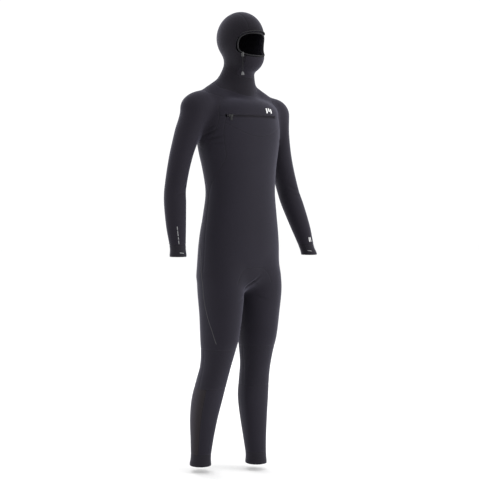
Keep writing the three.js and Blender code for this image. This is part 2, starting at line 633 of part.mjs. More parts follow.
// ---- legs -------------------------------------------------------------------------------------------
const LEG_COLUMNS = 16;
const KNEE_HEIGHT = CROTCH - 0.425 * LEG_LENGTH;
const MIDLINE_GAP = 0.3;

function legPanels(name) {
  const side = SIDES[name];
  const rows = LEGS[name];
  const field = (p) => Math.max(skin(p), MIDLINE_GAP - side * p.x);
  const angles = ringAngles(LEG_COLUMNS);
  const tilt = [-side * GROIN_TILT, 0, 1];
  const along = v(...tilt).normalize();
  const groin = groinSeams[name];
  const hipPlane = (d) => plane(v(0, 0, CROTCH).addScaledVector(along, -d).toArray(), tilt);
  const level = (z) => plane([0, 0, z], [0, 0, 1]);
  const hipEnd = hipPlane(HIP_ZONE);
  const kneeHigh = level(KNEE_HEIGHT + KNEE_ZONE / 2);
  const kneeLow = level(KNEE_HEIGHT - KNEE_ZONE / 2);
  const sealStart = level(rows[0][0] + ANKLE_SEAL_LENGTH);
  const hem = level(rows[0][0]);
  const rings = [];
  const marks = {};
  const put = (seamPlane, normal, mark) => {
    if (mark) marks[rings.length] = seamPlane;
    rings.push(ringAround(axisThrough(rows, side, seamPlane), normal, angles, field));
  };
  put(hem, [0, 0, 1], true);
  put(level(rows[0][0] + ANKLE_SEAL_LENGTH / 2), [0, 0, 1]);
  put(sealStart, [0, 0, 1], true);
  const shank = KNEE_HEIGHT - KNEE_ZONE / 2 - rows[0][0] - ANKLE_SEAL_LENGTH;
  for (const t of [0.2, 0.4, 0.6, 0.8]) put(level(rows[0][0] + ANKLE_SEAL_LENGTH + t * shank), [0, 0, 1]);
  put(kneeLow, [0, 0, 1], true);
  for (const t of [-0.25, 0, 0.25]) put(level(KNEE_HEIGHT + t * KNEE_ZONE), [0, 0, 1]);
  put(kneeHigh, [0, 0, 1], true);
  const low = axisThrough(rows, side, kneeHigh);
  const high = axisThrough(rows, side, hipEnd);
  const midThigh = onAxis(rows, side, (low.z + high.z) / 2);
  rings.push(ringAround(midThigh, [-side * GROIN_TILT / 2, 0, 1], angles, field));
  put(hipEnd, tilt, true);
  for (const d of [0.75, 0.5, 0.28, 0.1]) put(hipPlane(d * HIP_ZONE), tilt);
  put(groin, tilt, true);

  const mesh = skinOfRings(rings, field, marks);
  const centre = (z) => section(rows, z);
  const kneeSeam = { f: (p) => p.y - centre(p.z)[1] - 6 };
  const calfSeam = { f: (p) => 0.574 * (p.x * side - centre(p.z)[0]) + 0.819 * (p.y - centre(p.z)[1]) };
  const above = (seam) => (p) => seam.f(p) > 0;
  const legPart = (top, bottom) => (p) => top.f(p) < 0 && bottom.f(p) > 0;
  const piece = (label, belongs, thickness, material) => {
    add(`${name}_${label}`, panel(mesh, belongs, thickness), material);
  };
  const isKnee = legPart(kneeHigh, kneeLow);
  const isShank = legPart(kneeLow, sealStart);
  split(mesh, kneeSeam, { where: isKnee });
  split(mesh, calfSeam, { where: isShank });
  piece('hip_panel', (p) => hipEnd.f(p) > 0, LIMB_THICKNESS, NEOPRENE);
  piece('thigh_panel', (p) => hipEnd.f(p) < 0 && kneeHigh.f(p) > 0, LIMB_THICKNESS, NEOPRENE);
  piece('knee_pad', (p) => isKnee(p) && kneeSeam.f(p) < 0, LIMB_THICKNESS, GRIP_PRINT);
  piece('knee_back_panel', (p) => isKnee(p) && above(kneeSeam)(p), LIMB_THICKNESS, NEOPRENE);
  piece('shin_panel', (p) => isShank(p) && calfSeam.f(p) < 0, LIMB_THICKNESS, NEOPRENE);
  piece('calf_panel', (p) => isShank(p) && above(calfSeam)(p), LIMB_THICKNESS, GRIP_PRINT);
  piece('ankle_seal', (p) => sealStart.f(p) < 0, SEAL_THICKNESS, RUBBER);
}
legPanels('right');
legPanels('left');

// Raised piping down the outside of the hip and thigh: height share of the leg, and how far forward.
const PIPING = [
  [-0.35, 55], [-0.245, 32], [-0.14, 18], [-0.06, 5], [0.03, -3], [0.12, -18], [0.2, -36], [0.27, -47],
];
const PIPING_THICKNESS = 1.2;
const PIPING_LIFT = 0.7;
for (const [name, side] of Object.entries(SIDES)) {
  const marks = PIPING.map(([share, y]) => new THREE.Vector2(CROTCH - share * LEG_LENGTH, y));
  const curve = new THREE.SplineCurve(marks);
  const middle = curve.getPoints(24).map(({ x: z, y }) => cast(v(side * 70, y, z), v(side, 0, 0)));
  const loops = middle.map((p, i) => {
    const n = normalAt(p);
    const ahead = middle[Math.min(i + 1, middle.length - 1)];
    const run = ahead.clone().sub(middle[Math.max(i - 1, 0)]).normalize();
    const across = new THREE.Vector3().crossVectors(run, n).normalize();
    return [[-1, 0], [1, 0], [1, 1], [-1, 1]].map(([u, w]) => p.clone()
      .addScaledVector(across, u * PIPING_WIDTH / 2).addScaledVector(n, PIPING_LIFT + w * PIPING_THICKNESS));
  });
  add(`${name}_side_piping`, loft(loops), PALE_TRIM);
}

// ---- neck and hood --------------------------------------------------------------------------------------
const NECK_AXIS = v(0, -NECK_TILT, 1).normalize();
const NECK_MIDDLE = v(0, 6, NECK_SEAM_HEIGHT);
const NECK_COLUMNS = 24;
const neckPoint = (d) => v(0, 0, NECK_SEAM_HEIGHT).addScaledVector(NECK_AXIS, d);
const neckPlane = (d) => plane(neckPoint(d).toArray(), NECK_AXIS.toArray());
const collarSeam = neckPlane(NECK_ZONE);
const neckOffset = neckPlane(0).f(NECK_MIDDLE);
const neckRing = (d, field) => {
  const middle = NECK_MIDDLE.clone().addScaledVector(NECK_AXIS, d - neckOffset);
  return ringAround(middle, NECK_AXIS.toArray(), ringAngles(NECK_COLUMNS), field);
};
const collarRings = [0, 0.2, 0.45, 0.72, 1].map((t) => neckRing(t * NECK_ZONE, skin));
const collar = skinOfRings(collarRings, skin, { 0: neckPlane(0), 4: collarSeam });
add('neck_collar', panel(collar, () => true, BODY_THICKNESS), HOOD_NEOPRENE);

const BARRIER_INSET = BODY_THICKNESS + 4.5;
const barrierSkin = (p) => skin(p) + BARRIER_INSET;
const barrierTop = NECK_ZONE - 6;
const barrierRows = [0, 1 / 3, 2 / 3, 1].map((t) => barrierTop - BARRIER_HEIGHT * (1 - t));
const barrier = skinOfRings(barrierRows.map((d) => neckRing(d, barrierSkin)), barrierSkin);
add('inner_neck_seal', panel(barrier, () => true, 2), RUBBER);

const HEAD_MIDDLE = v(0, -12, 165);
const HEAD_COLUMNS = 24;
const HEAD_ANGLES = [-66, -56, -45, -34, -23, -12, -1, 10, 21, 33, 46, 60, 75];
const headRings = HEAD_ANGLES.map((degrees) => {
  const e = THREE.MathUtils.degToRad(degrees);
  return ringAngles(HEAD_COLUMNS).map((a) => cast(HEAD_MIDDLE,
    v(Math.cos(e) * Math.cos(a), Math.cos(e) * Math.sin(a), Math.sin(e))));
});
const hood = skinOfRings(headRings);
closeTop(hood, HEAD_COLUMNS, cast(HEAD_MIDDLE, v(0, 0, 1)));
const faceOpening = {
  f: (p) => {
    const across = Math.abs(p.x / FACE_HALF_WIDTH);
    const upward = Math.abs((p.z - FACE_HEIGHT) / FACE_HALF_HEIGHT);
    return p.y > -20 ? 60 : FACE_HALF_HEIGHT * ((across ** 3 + upward ** 3) ** (1 / 3) - 1);
  },
};
const CROWN_HALF_WIDTH = 31;
const CHIN_HALF_WIDTH = 44;
const crownSeam = { f: (p) => Math.abs(p.x) - CROWN_HALF_WIDTH };
const chinSeam = { f: (p) => Math.abs(p.x) - CHIN_HALF_WIDTH };
split(hood, collarSeam);
split(hood, faceOpening, { snap: NEAR_SNAP });
const overFace = (p) => p.y < -20 && p.z < FACE_HEIGHT;
split(hood, crownSeam, { where: (p) => !overFace(p) });
split(hood, chinSeam, { where: overFace });

const onHood = (p) => collarSeam.f(p) > 0 && faceOpening.f(p) > 0;
const isChin = (p) => overFace(p) && chinSeam.f(p) < 0;
const isCrown = (p) => crownSeam.f(p) < 0 && !isChin(p);
add('hood_crown_panel', panel(hood, (p) => onHood(p) && isCrown(p), BODY_THICKNESS), HOOD_NEOPRENE);
add('hood_chin_panel', panel(hood, (p) => onHood(p) && isChin(p), BODY_THICKNESS), HOOD_NEOPRENE);
const isCheek = (p) => onHood(p) && !isCrown(p) && !isChin(p);
for (const [name, side] of Object.entries(SIDES)) {
  add(`hood_${name}_panel`, panel(hood, (p) => isCheek(p) && p.x * side > 0, BODY_THICKNESS), HOOD_NEOPRENE);
}

// Point of the face opening's outline, drawn in from its edge, on the skin.
function faceEdge(angle, inset) {
  const c = Math.cos(angle);
  const s = Math.sin(angle);
  const scale = 1 / (Math.abs(c) ** 3 + Math.abs(s) ** 3) ** (1 / 3);
  const x = (FACE_HALF_WIDTH - inset) * scale * c;
  const z = FACE_HEIGHT + (FACE_HALF_HEIGHT - inset) * scale * s;
  return cast(v(x, -14, z), v(0, -1, 0));
}

const bindingAngles = ringAngles(36);
const bindingMiddle = bindingAngles.map((a) => faceEdge(a, BINDING_WIDTH / 2 + 1.6));
add('face_binding', loft(bindingMiddle.map((p, i) => {
  const n = normalAt(p);
  const next = bindingMiddle[(i + 1) % bindingMiddle.length];
  const run = next.clone().sub(bindingMiddle.at(i - 1)).normalize();
  const across = new THREE.Vector3().crossVectors(run, n).normalize();
  return ringAngles(6).map((a) => p.clone().addScaledVector(across, Math.cos(a) * BINDING_WIDTH / 2)
    .addScaledVector(n, Math.sin(a) * 3.2 - 2));
}), { closed: true }), RUBBER);

const PEAK_HALF_WIDTH = 52;
const PEAK_LIFT = 0.8;
const peakHeight = FACE_HEIGHT + FACE_HALF_HEIGHT + 3;
add('hood_peak', loft(Array.from({ length: 15 }, (_, i) => {
  const t = i / 7 - 1;
  const x = t * PEAK_HALF_WIDTH;
  const root = cast(v(x, -14, peakHeight - 10 * t * t), v(0, -1, 0));
  const n = normalAt(root);
  const reach = 3 + (PEAK_LENGTH - 3) * (1 - t * t);
  const out = v(n.x * 0.5, -1, -0.12).normalize();
  const from = root.clone().addScaledVector(n, PEAK_LIFT);
  const up = v(0, -0.12, 1).normalize();
  return [from, from.clone().addScaledVector(out, reach), from.clone().addScaledVector(out, reach)
    .addScaledVector(up, PEAK_THICKNESS * 0.7), from.clone().addScaledVector(up, PEAK_THICKNESS)];
})), HOOD_NEOPRENE);

// ---- cord lock at the corner of the face opening ---------------------------------------------------------
const LOCK_PLACE = { x: -50, z: 124 };
const BORE_RADIUS = 3.7;
const BORE_DEPTH = 5;
const BUTTON_RADIUS = 3.3;
const BUTTON_LENGTH = 6;
const BUTTON_SEAT = 3.6;           // gap below the button, which it presses through
const lockRoot = cast(v(LOCK_PLACE.x, -14, LOCK_PLACE.z), v(0, -1, 0));
const lockOut = normalAt(lockRoot).setZ(0).normalize();
const LOCK_STANDOFF = 3;
const lockMiddle = lockRoot.clone().addScaledVector(lockOut, LOCK_RADIUS + LOCK_STANDOFF);
const lathe = (profile, place) => {
  const points = profile.map(([r, z]) => [r, z + place.z]);
  const loops = ringAngles(12).map((a) => points.filter(([r]) => r > 0)
    .map(([r, z]) => v(place.x + r * Math.cos(a), place.y + r * Math.sin(a), z)));
  const count = loops[0].length;
  const all = loops.flat();
  const bottom = all.push(v(place.x, place.y, points[0][1])) - 1;
  const top = all.push(v(place.x, place.y, points[points.length - 1][1])) - 1;
  const triangles = [];
  loops.forEach((_, i) => {
    const a = i * count;
    const b = ((i + 1) % loops.length) * count;
    for (let k = 0; k < count - 1; k++) {
      triangles.push([a + k, b + k, b + k + 1], [a + k, b + k + 1, a + k + 1]);
    }
    triangles.push([bottom, b, a], [top, a + count - 1, b + count - 1]);
  });
  return solid(...facingOut(all, triangles));
};
const halfLock = LOCK_LENGTH / 2;
add('cord_lock_barrel', lathe([[0, -halfLock], [LOCK_RADIUS - 1, -halfLock], [LOCK_RADIUS, -halfLock + 2],
  [LOCK_RADIUS, halfLock - 1], [LOCK_RADIUS - 0.7, halfLock], [BORE_RADIUS, halfLock],
  [BORE_RADIUS, halfLock - BORE_DEPTH], [0, halfLock - BORE_DEPTH]], lockMiddle), ZIP_PLASTIC);
const buttonFoot = halfLock - BORE_DEPTH + BUTTON_SEAT;
add('cord_lock_button', lathe([[0, buttonFoot], [BUTTON_RADIUS, buttonFoot],
  [BUTTON_RADIUS, buttonFoot + BUTTON_LENGTH - 0.8], [BUTTON_RADIUS - 0.8, buttonFoot + BUTTON_LENGTH],
  [0, buttonFoot + BUTTON_LENGTH]], lockMiddle), ZIP_PLASTIC);

const CORD_DROP = 54;
const TAB_LENGTH = 13;
const TAB_WIDTH = 12;
const TAB_THICKNESS = 3;
const cordTop = lockMiddle.clone().add(v(0, 0, -halfLock - SEAM_GAP));
const CORD_STEPS = 9;
const cordPoint = (share) => cordTop.clone().add(v(0, 0, -CORD_DROP * share));
const cordStations = Array.from({ length: CORD_STEPS + 1 }, (_, i) => cordPoint(i / CORD_STEPS));
add('hood_cord_tail', loft(cordStations.map((p) => ringAngles(8).map((a) => p.clone()
  .add(v(Math.cos(a), Math.sin(a), 0).multiplyScalar(CORD_DIAMETER / 2))))), ZIP_CLOTH);
const tabTop = cordTop.z - CORD_DROP - SEAM_GAP;
const TAB_TURN = THREE.MathUtils.degToRad(-38);
const tabSpread = v(Math.cos(TAB_TURN), Math.sin(TAB_TURN), 0);
const tabDeep = v(-Math.sin(TAB_TURN), Math.cos(TAB_TURN), 0);
const TAB_OUTLINE = [[0, 0.42], [0.35, 0.75], [1, 1]];
const TAB_CORNERS = [[-1, -1], [1, -1], [1, 1], [-1, 1]];
add('cord_end_tab', loft(TAB_OUTLINE.map(([t, wide]) => TAB_CORNERS.map(([u, w]) => (
  v(cordTop.x, cordTop.y, tabTop - t * TAB_LENGTH)
    .addScaledVector(tabSpread, u * wide * TAB_WIDTH / 2)
    .addScaledVector(tabDeep, w * TAB_THICKNESS / 2)
)))), PALE_TRIM);

// ---- chest zip: everything lies on one level arc, which the slider runs along -------------------------------
const zipPoint = (x) => cast(v(x, 0, -ZIP_DROP), v(0, -1, 0));
const zipMarks = [-1, 0, 1].map((k) => zipPoint(ZIP_SHIFT + k * ZIP_LENGTH / 2));

// Centre of the level circle through three points.
function centreOf([a, b, c]) {
  const size = (p) => p.x * p.x + p.y * p.y;
  const twiceArea = 2 * (a.x * (b.y - c.y) + b.x * (c.y - a.y) + c.x * (a.y - b.y));
  const x = size(a) * (b.y - c.y) + size(b) * (c.y - a.y) + size(c) * (a.y - b.y);
  const y = size(a) * (c.x - b.x) + size(b) * (a.x - c.x) + size(c) * (b.x - a.x);
  return v(x / twiceArea, y / twiceArea, b.z);
}

const ZIP_CENTRE = centreOf(zipMarks);
const ZIP_RADIUS = ZIP_CENTRE.distanceTo(zipMarks[1]);
const middleAngle = Math.atan2(zipMarks[1].y - ZIP_CENTRE.y, zipMarks[1].x - ZIP_CENTRE.x);
const zipAngle = (distance) => middleAngle + distance / ZIP_RADIUS;
const onZip = (distance, depth, up) => v(
  ZIP_CENTRE.x + (ZIP_RADIUS + depth) * Math.cos(zipAngle(distance)),
  ZIP_CENTRE.y + (ZIP_RADIUS + depth) * Math.sin(zipAngle(distance)), -ZIP_DROP + up);

function zipBar(profile, from, to, steps) {
  const loops = Array.from({ length: steps + 1 }, (_, i) => {
    const distance = from + (to - from) * i / steps;
    return profile.map(([depth, up]) => onZip(distance, depth, up));
  });
  return loft(loops, { flat: profile.map(([a, b]) => new THREE.Vector2(a, b)) });
}

const CHAIN_DEPTH = -1.6;          // the chain's middle lies a little under the skin
const STOP_LENGTH = 7;
const chainEnd = ZIP_LENGTH / 2 - STOP_LENGTH - SEAM_GAP;
const tapeFrom = TEETH_WIDTH + 0.15 + SEAM_GAP;
const tapeTo = ZIP_SLOT_HEIGHT / 2 - 0.5;
const box = (low, high, near, far) => [[low, near], [high, near], [high, far], [low, far]];
for (const [name, up] of [['upper', 1], ['lower', -1]]) {
  const half = TAPE_THICKNESS / 2;
  add(`zip_${name}_tape`, zipBar(box(CHAIN_DEPTH - half, CHAIN_DEPTH + half, up * tapeFrom, up * tapeTo),
    -ZIP_LENGTH / 2, ZIP_LENGTH / 2, 20), ZIP_CLOTH);
  add(`zip_${name}_teeth`, zipBar(box(CHAIN_DEPTH - TEETH_THICKNESS / 2, CHAIN_DEPTH + TEETH_THICKNESS / 2,
    up * SEAM_GAP / 2, up * (TEETH_WIDTH + 0.15)), -chainEnd, chainEnd, 20), ZIP_PLASTIC);
}
const stopLow = CHAIN_DEPTH - TEETH_THICKNESS / 2;
const stopHigh = CHAIN_DEPTH + TEETH_THICKNESS / 2 + 0.6;
const stopProfile = box(stopLow, stopHigh, -TEETH_WIDTH, TEETH_WIDTH);
add('zip_end_box', zipBar(stopProfile, ZIP_LENGTH / 2 - STOP_LENGTH, ZIP_LENGTH / 2, 2), ZIP_PLASTIC);
add('zip_top_stop', zipBar(stopProfile, -ZIP_LENGTH / 2, -ZIP_LENGTH / 2 + STOP_LENGTH, 2), ZIP_PLASTIC);

const SLIDER_LENGTH = 15;
const SLIDER_WALL = 1.5;
const SLIDER_CLEARANCE = 0.5;
const sliderLow = CHAIN_DEPTH + TAPE_THICKNESS / 2 + SLIDER_CLEARANCE;
const sliderHigh = CHAIN_DEPTH + TEETH_THICKNESS / 2 + SLIDER_CLEARANCE;
const sliderInside = TEETH_WIDTH + 0.15 + SLIDER_CLEARANCE;
const sliderOutside = sliderInside + SLIDER_WALL;
const sliderStart = -chainEnd + 0.5;
add('zip_slider', zipBar([[sliderLow, -sliderOutside], [sliderHigh + SLIDER_WALL, -sliderOutside],
  [sliderHigh + SLIDER_WALL, sliderOutside], [sliderLow, sliderOutside], [sliderLow, sliderInside],
  [sliderHigh, sliderInside], [sliderHigh, -sliderInside], [sliderLow, -sliderInside]],
sliderStart, sliderStart + SLIDER_LENGTH, 4), ZIP_PLASTIC);

const PULL_LENGTH = 21;
const PULL_WIDTH = 8;
const PULL_THICKNESS = 2;
const PULL_STANDOFF = 1.6;         // the pull clears the slider and the chest it slides over
const PULL_LEAN = 0.1;             // and it leans out as it hangs, as the chest does
const pullDepth = sliderHigh + SLIDER_WALL + PULL_STANDOFF;
const pullMiddle = sliderStart + SLIDER_LENGTH / 2;
add('zip_pull_tab', loft([[3, 0.6], [1, 0.9], [-PULL_LENGTH * 0.6, 1], [-PULL_LENGTH + 3, 0.8]].map(([up, wide]) => {
  const depth = pullDepth - PULL_LEAN * up;
  const at = (u, w) => onZip(pullMiddle + u * wide * PULL_WIDTH / 2, depth + w * PULL_THICKNESS, up);
  return [at(-1, 0), at(1, 0), at(1, 1), at(-1, 1)];
})), RUBBER);

// Storm flap: the thin inner sheet behind the zip.
const FLAP_THICKNESS = 2;
const FLAP_HALF_HEIGHT = 18;
const FLAP_DEPTH = -BODY_THICKNESS - 5;
const FLAP_END = ZIP_LENGTH / 2 - 8;
const flapProfile = box(FLAP_DEPTH - FLAP_THICKNESS, FLAP_DEPTH, -FLAP_HALF_HEIGHT, FLAP_HALF_HEIGHT);
add('zip_storm_flap', zipBar(flapProfile, -FLAP_END, FLAP_END, 14), NEOPRENE);

export default group;
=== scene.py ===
import math

import bpy
import numpy as np
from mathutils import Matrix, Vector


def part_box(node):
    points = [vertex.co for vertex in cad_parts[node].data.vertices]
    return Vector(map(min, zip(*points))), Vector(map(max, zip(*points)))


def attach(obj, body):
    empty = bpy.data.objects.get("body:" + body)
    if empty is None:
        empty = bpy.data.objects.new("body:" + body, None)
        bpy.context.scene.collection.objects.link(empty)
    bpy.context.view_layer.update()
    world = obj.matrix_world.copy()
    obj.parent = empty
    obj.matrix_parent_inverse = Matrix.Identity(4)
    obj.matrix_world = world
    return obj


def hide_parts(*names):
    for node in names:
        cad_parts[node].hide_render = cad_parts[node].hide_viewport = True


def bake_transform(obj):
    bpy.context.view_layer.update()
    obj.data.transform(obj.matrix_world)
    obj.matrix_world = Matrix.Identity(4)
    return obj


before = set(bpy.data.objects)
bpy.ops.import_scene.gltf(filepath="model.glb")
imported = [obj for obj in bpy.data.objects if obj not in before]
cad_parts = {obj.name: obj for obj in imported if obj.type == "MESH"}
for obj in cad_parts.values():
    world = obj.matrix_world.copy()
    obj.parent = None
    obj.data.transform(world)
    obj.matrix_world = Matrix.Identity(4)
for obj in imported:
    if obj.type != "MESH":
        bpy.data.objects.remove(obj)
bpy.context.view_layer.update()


# ---- camera, floor and light ---------------------------------------------------------------------
# The suit hangs as worn in a white studio, a little above a pale floor, seen from its front right.
# Broad soft lights stand on every side, and the one at the suit's front left is much the strongest.
MM = 0.001
TARGET = np.array([3.2, -2.5, -569.0]) * MM
VIEW_FORWARD = np.array([0.616, 0.788, 0.0])
CAMERA_DISTANCE = 4.5
CAMERA_RISE = 0.229
LENS, FILM_WIDTH = 88.2, 36.0
SUIT_MIDDLE = (0.0, 0.0, -0.55)
SKY_STRENGTH = 1.07


def aim(thing, place, target):
    """Puts a camera or light at place, looking at target."""
    thing.location = place
    forward = np.array(target) - np.array(place)
    flat = math.hypot(forward[0], forward[1])
    heading = math.atan2(forward[1], forward[0]) - math.pi / 2
    thing.rotation_euler = (math.atan2(flat, -forward[2]), 0.0, heading)
    bpy.context.scene.collection.objects.link(thing)


camera_data = bpy.data.cameras.new("camera")
camera_data.lens = LENS
camera_data.sensor_width = FILM_WIDTH
camera = bpy.data.objects.new("camera", camera_data)
aim(camera, TARGET - VIEW_FORWARD * CAMERA_DISTANCE + np.array([0, 0, CAMERA_RISE]), TARGET)
bpy.context.scene.camera = camera

LAMPS = [  # name, place, size across, watts
    ("front_left_softbox", (2.3, -2.9, 0.4), 2.4, 80.0),
    ("front_right_softbox", (-3.4, -1.9, 0.2), 2.6, 4.0),
    ("back_softbox", (0.4, 3.6, 0.6), 2.6, 40.0),
    ("overhead_softbox", (0.0, 0.0, 2.9), 2.4, 14.0),
]
for lamp_name, place, across, watts in LAMPS:
    lamp_data = bpy.data.lights.new(lamp_name, "AREA")
    lamp_data.shape = "DISK"
    lamp_data.size = across
    lamp_data.energy = watts
    aim(bpy.data.objects.new(lamp_name, lamp_data), place, SUIT_MIDDLE)

world = bpy.data.worlds.new("white_studio")
world.use_nodes = True
sky = world.node_tree.nodes["Background"]
sky.inputs["Color"].default_value = (1.0, 1.0, 1.0, 1.0)
sky.inputs["Strength"].default_value = SKY_STRENGTH
bpy.context.scene.world = world
bpy.context.scene.view_settings.view_transform = "Standard"


class Finish:
    """A material with its Principled shader, and short ways to add and join nodes."""

    def __init__(self, name, rough=0.7, specular=0.2, sheen=0.0, coat=0.0):
        self.material = bpy.data.materials.new(name)
        self.material.use_nodes = True
        self.tree = self.material.node_tree
        self.shader = self.tree.nodes["Principled BSDF"]
        self.shader.inputs["Roughness"].default_value = rough
        self.shader.inputs["Specular IOR Level"].default_value = specular
        self.shader.inputs["Sheen Weight"].default_value = sheen
        self.shader.inputs["Sheen Roughness"].default_value = 0.45
        self.shader.inputs["Coat Weight"].default_value = coat

    def node(self, kind, **settings):
        return put_node(self.tree, kind, **settings)

    def link(self, source, target):
        self.tree.links.new(source, target)


def put_node(tree, kind, **settings):
    """A new node; settings that name a socket fill it or join it, and the others are properties."""
    node = tree.nodes.new(kind)
    sockets = {}
    for key, value in settings.items():
        if hasattr(node, key) and not key[0].isupper():
            setattr(node, key, value)
        else:
            sockets[key] = value
    for key, value in sockets.items():
        socket = node.inputs[int(key[1:])] if key[0] == "_" else node.inputs[key.replace("_", " ")]
        if isinstance(value, bpy.types.NodeSocket):
            tree.links.new(value, socket)
        else:
            socket.default_value = value
    return node


def sums(tree, operation, *values):
    """The output of one Math node."""
    return put_node(tree, "ShaderNodeMath", operation=operation,
                    **{f"_{i}": value for i, value in enumerate(values)}).outputs[0]


def ramp(tree, value, low, high):
    """0 below low and 1 above high, smooth in between."""
    return put_node(tree, "ShaderNodeMapRange", interpolation_type="SMOOTHSTEP",
                    Value=value, From_Min=low, From_Max=high).outputs["Result"]


def blend_colour(tree, mask, first, second, how="MIX"):
    """Mix node on two colours."""
    node = tree.nodes.new("ShaderNodeMix")
    node.data_type = "RGBA"
    node.blend_type = how
    for label, value in {"Factor": mask, "A": first, "B": second}.items():
        socket = node.inputs[label]
        if isinstance(value, bpy.types.NodeSocket):
            tree.links.new(value, socket)
        elif isinstance(value, (int, float)):
            socket.default_value = value
        else:
            socket.default_value = (*value, 1.0)
    # The colour sockets share their names with the number ones, so they are taken by kind.
    return next(s for s in node.outputs if s.type == "RGBA")


floor_paint = Finish("floor_paint", rough=0.9, specular=0.1)
floor_grain = floor_paint.node("ShaderNodeTexNoise", Scale=3.0, Detail=4.0)
floor_greys = ((0.93, 0.93, 0.93), (0.96, 0.96, 0.96))
floor_paint.link(blend_colour(floor_paint.tree, floor_grain.outputs["Fac"], *floor_greys),
                 floor_paint.shader.inputs["Base Color"])
FLOOR_REACH = 14.0
FLOOR_HEIGHT = -1.475
floor_corners = [(x * FLOOR_REACH, y * FLOOR_REACH, FLOOR_HEIGHT)
                 for x, y in ((-1, -1), (1, -1), (1, 1), (-1, 1))]
floor_mesh = bpy.data.meshes.new("floor")
floor_mesh.from_pydata(floor_corners, [], [(0, 1, 2, 3)])
floor_mesh.materials.append(floor_paint.material)
floor = bpy.data.objects.new("floor", floor_mesh)
bpy.context.scene.collection.objects.link(floor)


# ---- the form the suit is cut for ----------------------------------------------------------------
# Neoprene panels are cut and glued to the shape of a body.  That shape is a smooth field, below zero
# inside: stations of height, middle, half width and depths for trunk and limbs, joined softly.
TORSO_LENGTH = 770.0
LEG_LENGTH = 678.0
ARM_LENGTH = 544.0
CROTCH = -TORSO_LENGTH
HEM_ALLOWANCE = 7.0


def stations(top, length, rows):
    rows = np.array(rows, float)
    rows[:, 0] = top - rows[:, 0] * length
    return rows[np.argsort(rows[:, 0])]


TORSO = stations(0, TORSO_LENGTH, [
    [0.909, 6, 8, 164, 104, 120], [0.805, 7, 6, 168, 108, 124], [0.714, 6, 3, 164, 106, 116],
    [0.610, 5, -1, 153, 102, 104], [0.500, 4, -3, 144, 100, 95], [0.390, 2, 0, 151, 107, 105],
    [0.286, 0, 2, 165, 115, 118], [0.208, 0, 3, 172, 118, 121], [0.117, 0, 6, 167, 112, 117]])
ARMS = {
    "right": stations(-75, ARM_LENGTH, [
        [0, 195, 12, 57, 58, 58], [0.153, 221, 22, 50, 54, 54], [0.333, 249, 32, 43, 46, 47],
        [0.544, 273, 33, 40, 41, 43], [0.640, 281, 23, 41, 41, 43], [0.802, 293, 0, 36, 38, 38],
        [0.946, 303, -25, 29, 30, 30], [1, 307, -32, 31, 32, 32]]),
    "left": stations(-88, ARM_LENGTH + 4, [
        [0, 189, 12, 55, 56, 58], [0.133, 204, 22, 49, 53, 54], [0.317, 237, 36, 45, 48, 48],
        [0.533, 281, 42, 43, 44, 47], [0.631, 295, 32, 45, 45, 46], [0.797, 313, 4, 39, 41, 40],
        [0.945, 327, -20, 30, 30, 31], [1, 331, -30, 32, 32, 32]])}
LEGS = {
    "right": stations(CROTCH, LEG_LENGTH, [
        [-0.290, 78, 4, 58, 70, 76], [-0.179, 83, 4, 72, 88, 92], [-0.104, 87, 2, 80, 97, 99],
        [-0.015, 88, 0, 81, 98, 98], [0.119, 89, 2, 76, 92, 82], [0.254, 92, 6, 68, 84, 74],
        [0.343, 94, 12, 61, 68, 66], [0.418, 95, 24, 55, 62, 66], [0.493, 96, 40, 54, 58, 74],
        [0.612, 96, 68, 54, 52, 80], [0.731, 97, 90, 49, 46, 70], [0.866, 98, 106, 41, 41, 52],
        [0.955, 99, 114, 38, 40, 42], [1, 99, 117, 41, 43, 43]]),
    "left": stations(CROTCH, LEG_LENGTH, [
        [-0.290, 80, 4, 58, 70, 76], [-0.179, 86, 4, 74, 88, 96], [-0.104, 91, 2, 83, 98, 106],
        [-0.015, 93, 0, 85, 99, 104], [0.119, 93, 2, 78, 92, 90], [0.254, 93, 6, 70, 84, 80],
        [0.343, 92, 8, 62, 68, 72], [0.418, 91, 10, 56, 59, 68], [0.493, 91, 12, 55, 50, 74],
        [0.612, 92, 16, 55, 44, 82], [0.731, 94, 18, 49, 42, 72], [0.866, 97, 18, 42, 39, 54],
        [0.955, 100, 19, 39, 40, 43], [1, 100, 19, 41, 43, 44]])}
SIDES = {"right": -1, "left": 1}


def section(rows, z):
    """Middle, half width, front and back depth at height z: a cubic between stations, level at the ends."""
    heights = rows[:, 0]
    at = np.clip(z, heights[0], heights[-1])
    i = np.clip(np.searchsorted(heights, at) - 1, 0, len(rows) - 2)
    slopes = np.zeros_like(rows)
    slopes[1:-1] = (rows[2:] - rows[:-2]) / (rows[2:, :1] - rows[:-2, :1])
    step = (heights[i + 1] - heights[i])[..., None]
    t = (at - heights[i])[..., None] / step
    value = ((1 + 2 * t) * (1 - t) ** 2 * rows[i] + t * (1 - t) ** 2 * step * slopes[i]
             + t * t * (3 - 2 * t) * rows[i + 1] + t * t * (t - 1) * step * slopes[i + 1])
    return [value[..., k] for k in range(1, rows.shape[1])]


def chain(p, rows, side, power, cap_top, cap_bottom=None):
    """Distance to a stack of rounded sections, capped like a dome above, and below if asked."""
    middle_x, middle_y, half_width, front, back = section(rows, p[2])
    x = p[0] * side - middle_x
    y = p[1] - middle_y
    above = np.maximum(p[2] - rows[-1, 0], 0)
    below = np.maximum(rows[0, 0] - p[2], 0) if cap_bottom else 0 * above
    deep = np.where(y < 0, front, back)
    flat = (np.abs(x / half_width) ** power + np.abs(y / deep) ** power) ** (1 / power)
    q = np.hypot(flat, above / cap_top + (below / cap_bottom if cap_bottom else 0))
    d = (np.sqrt(x * x + y * y + above ** 2 + below ** 2) + 1e-6) * (1 - 1 / np.maximum(q, 1e-3))
    return d if cap_bottom else np.maximum(d, rows[0, 0] - HEM_ALLOWANCE - p[2])


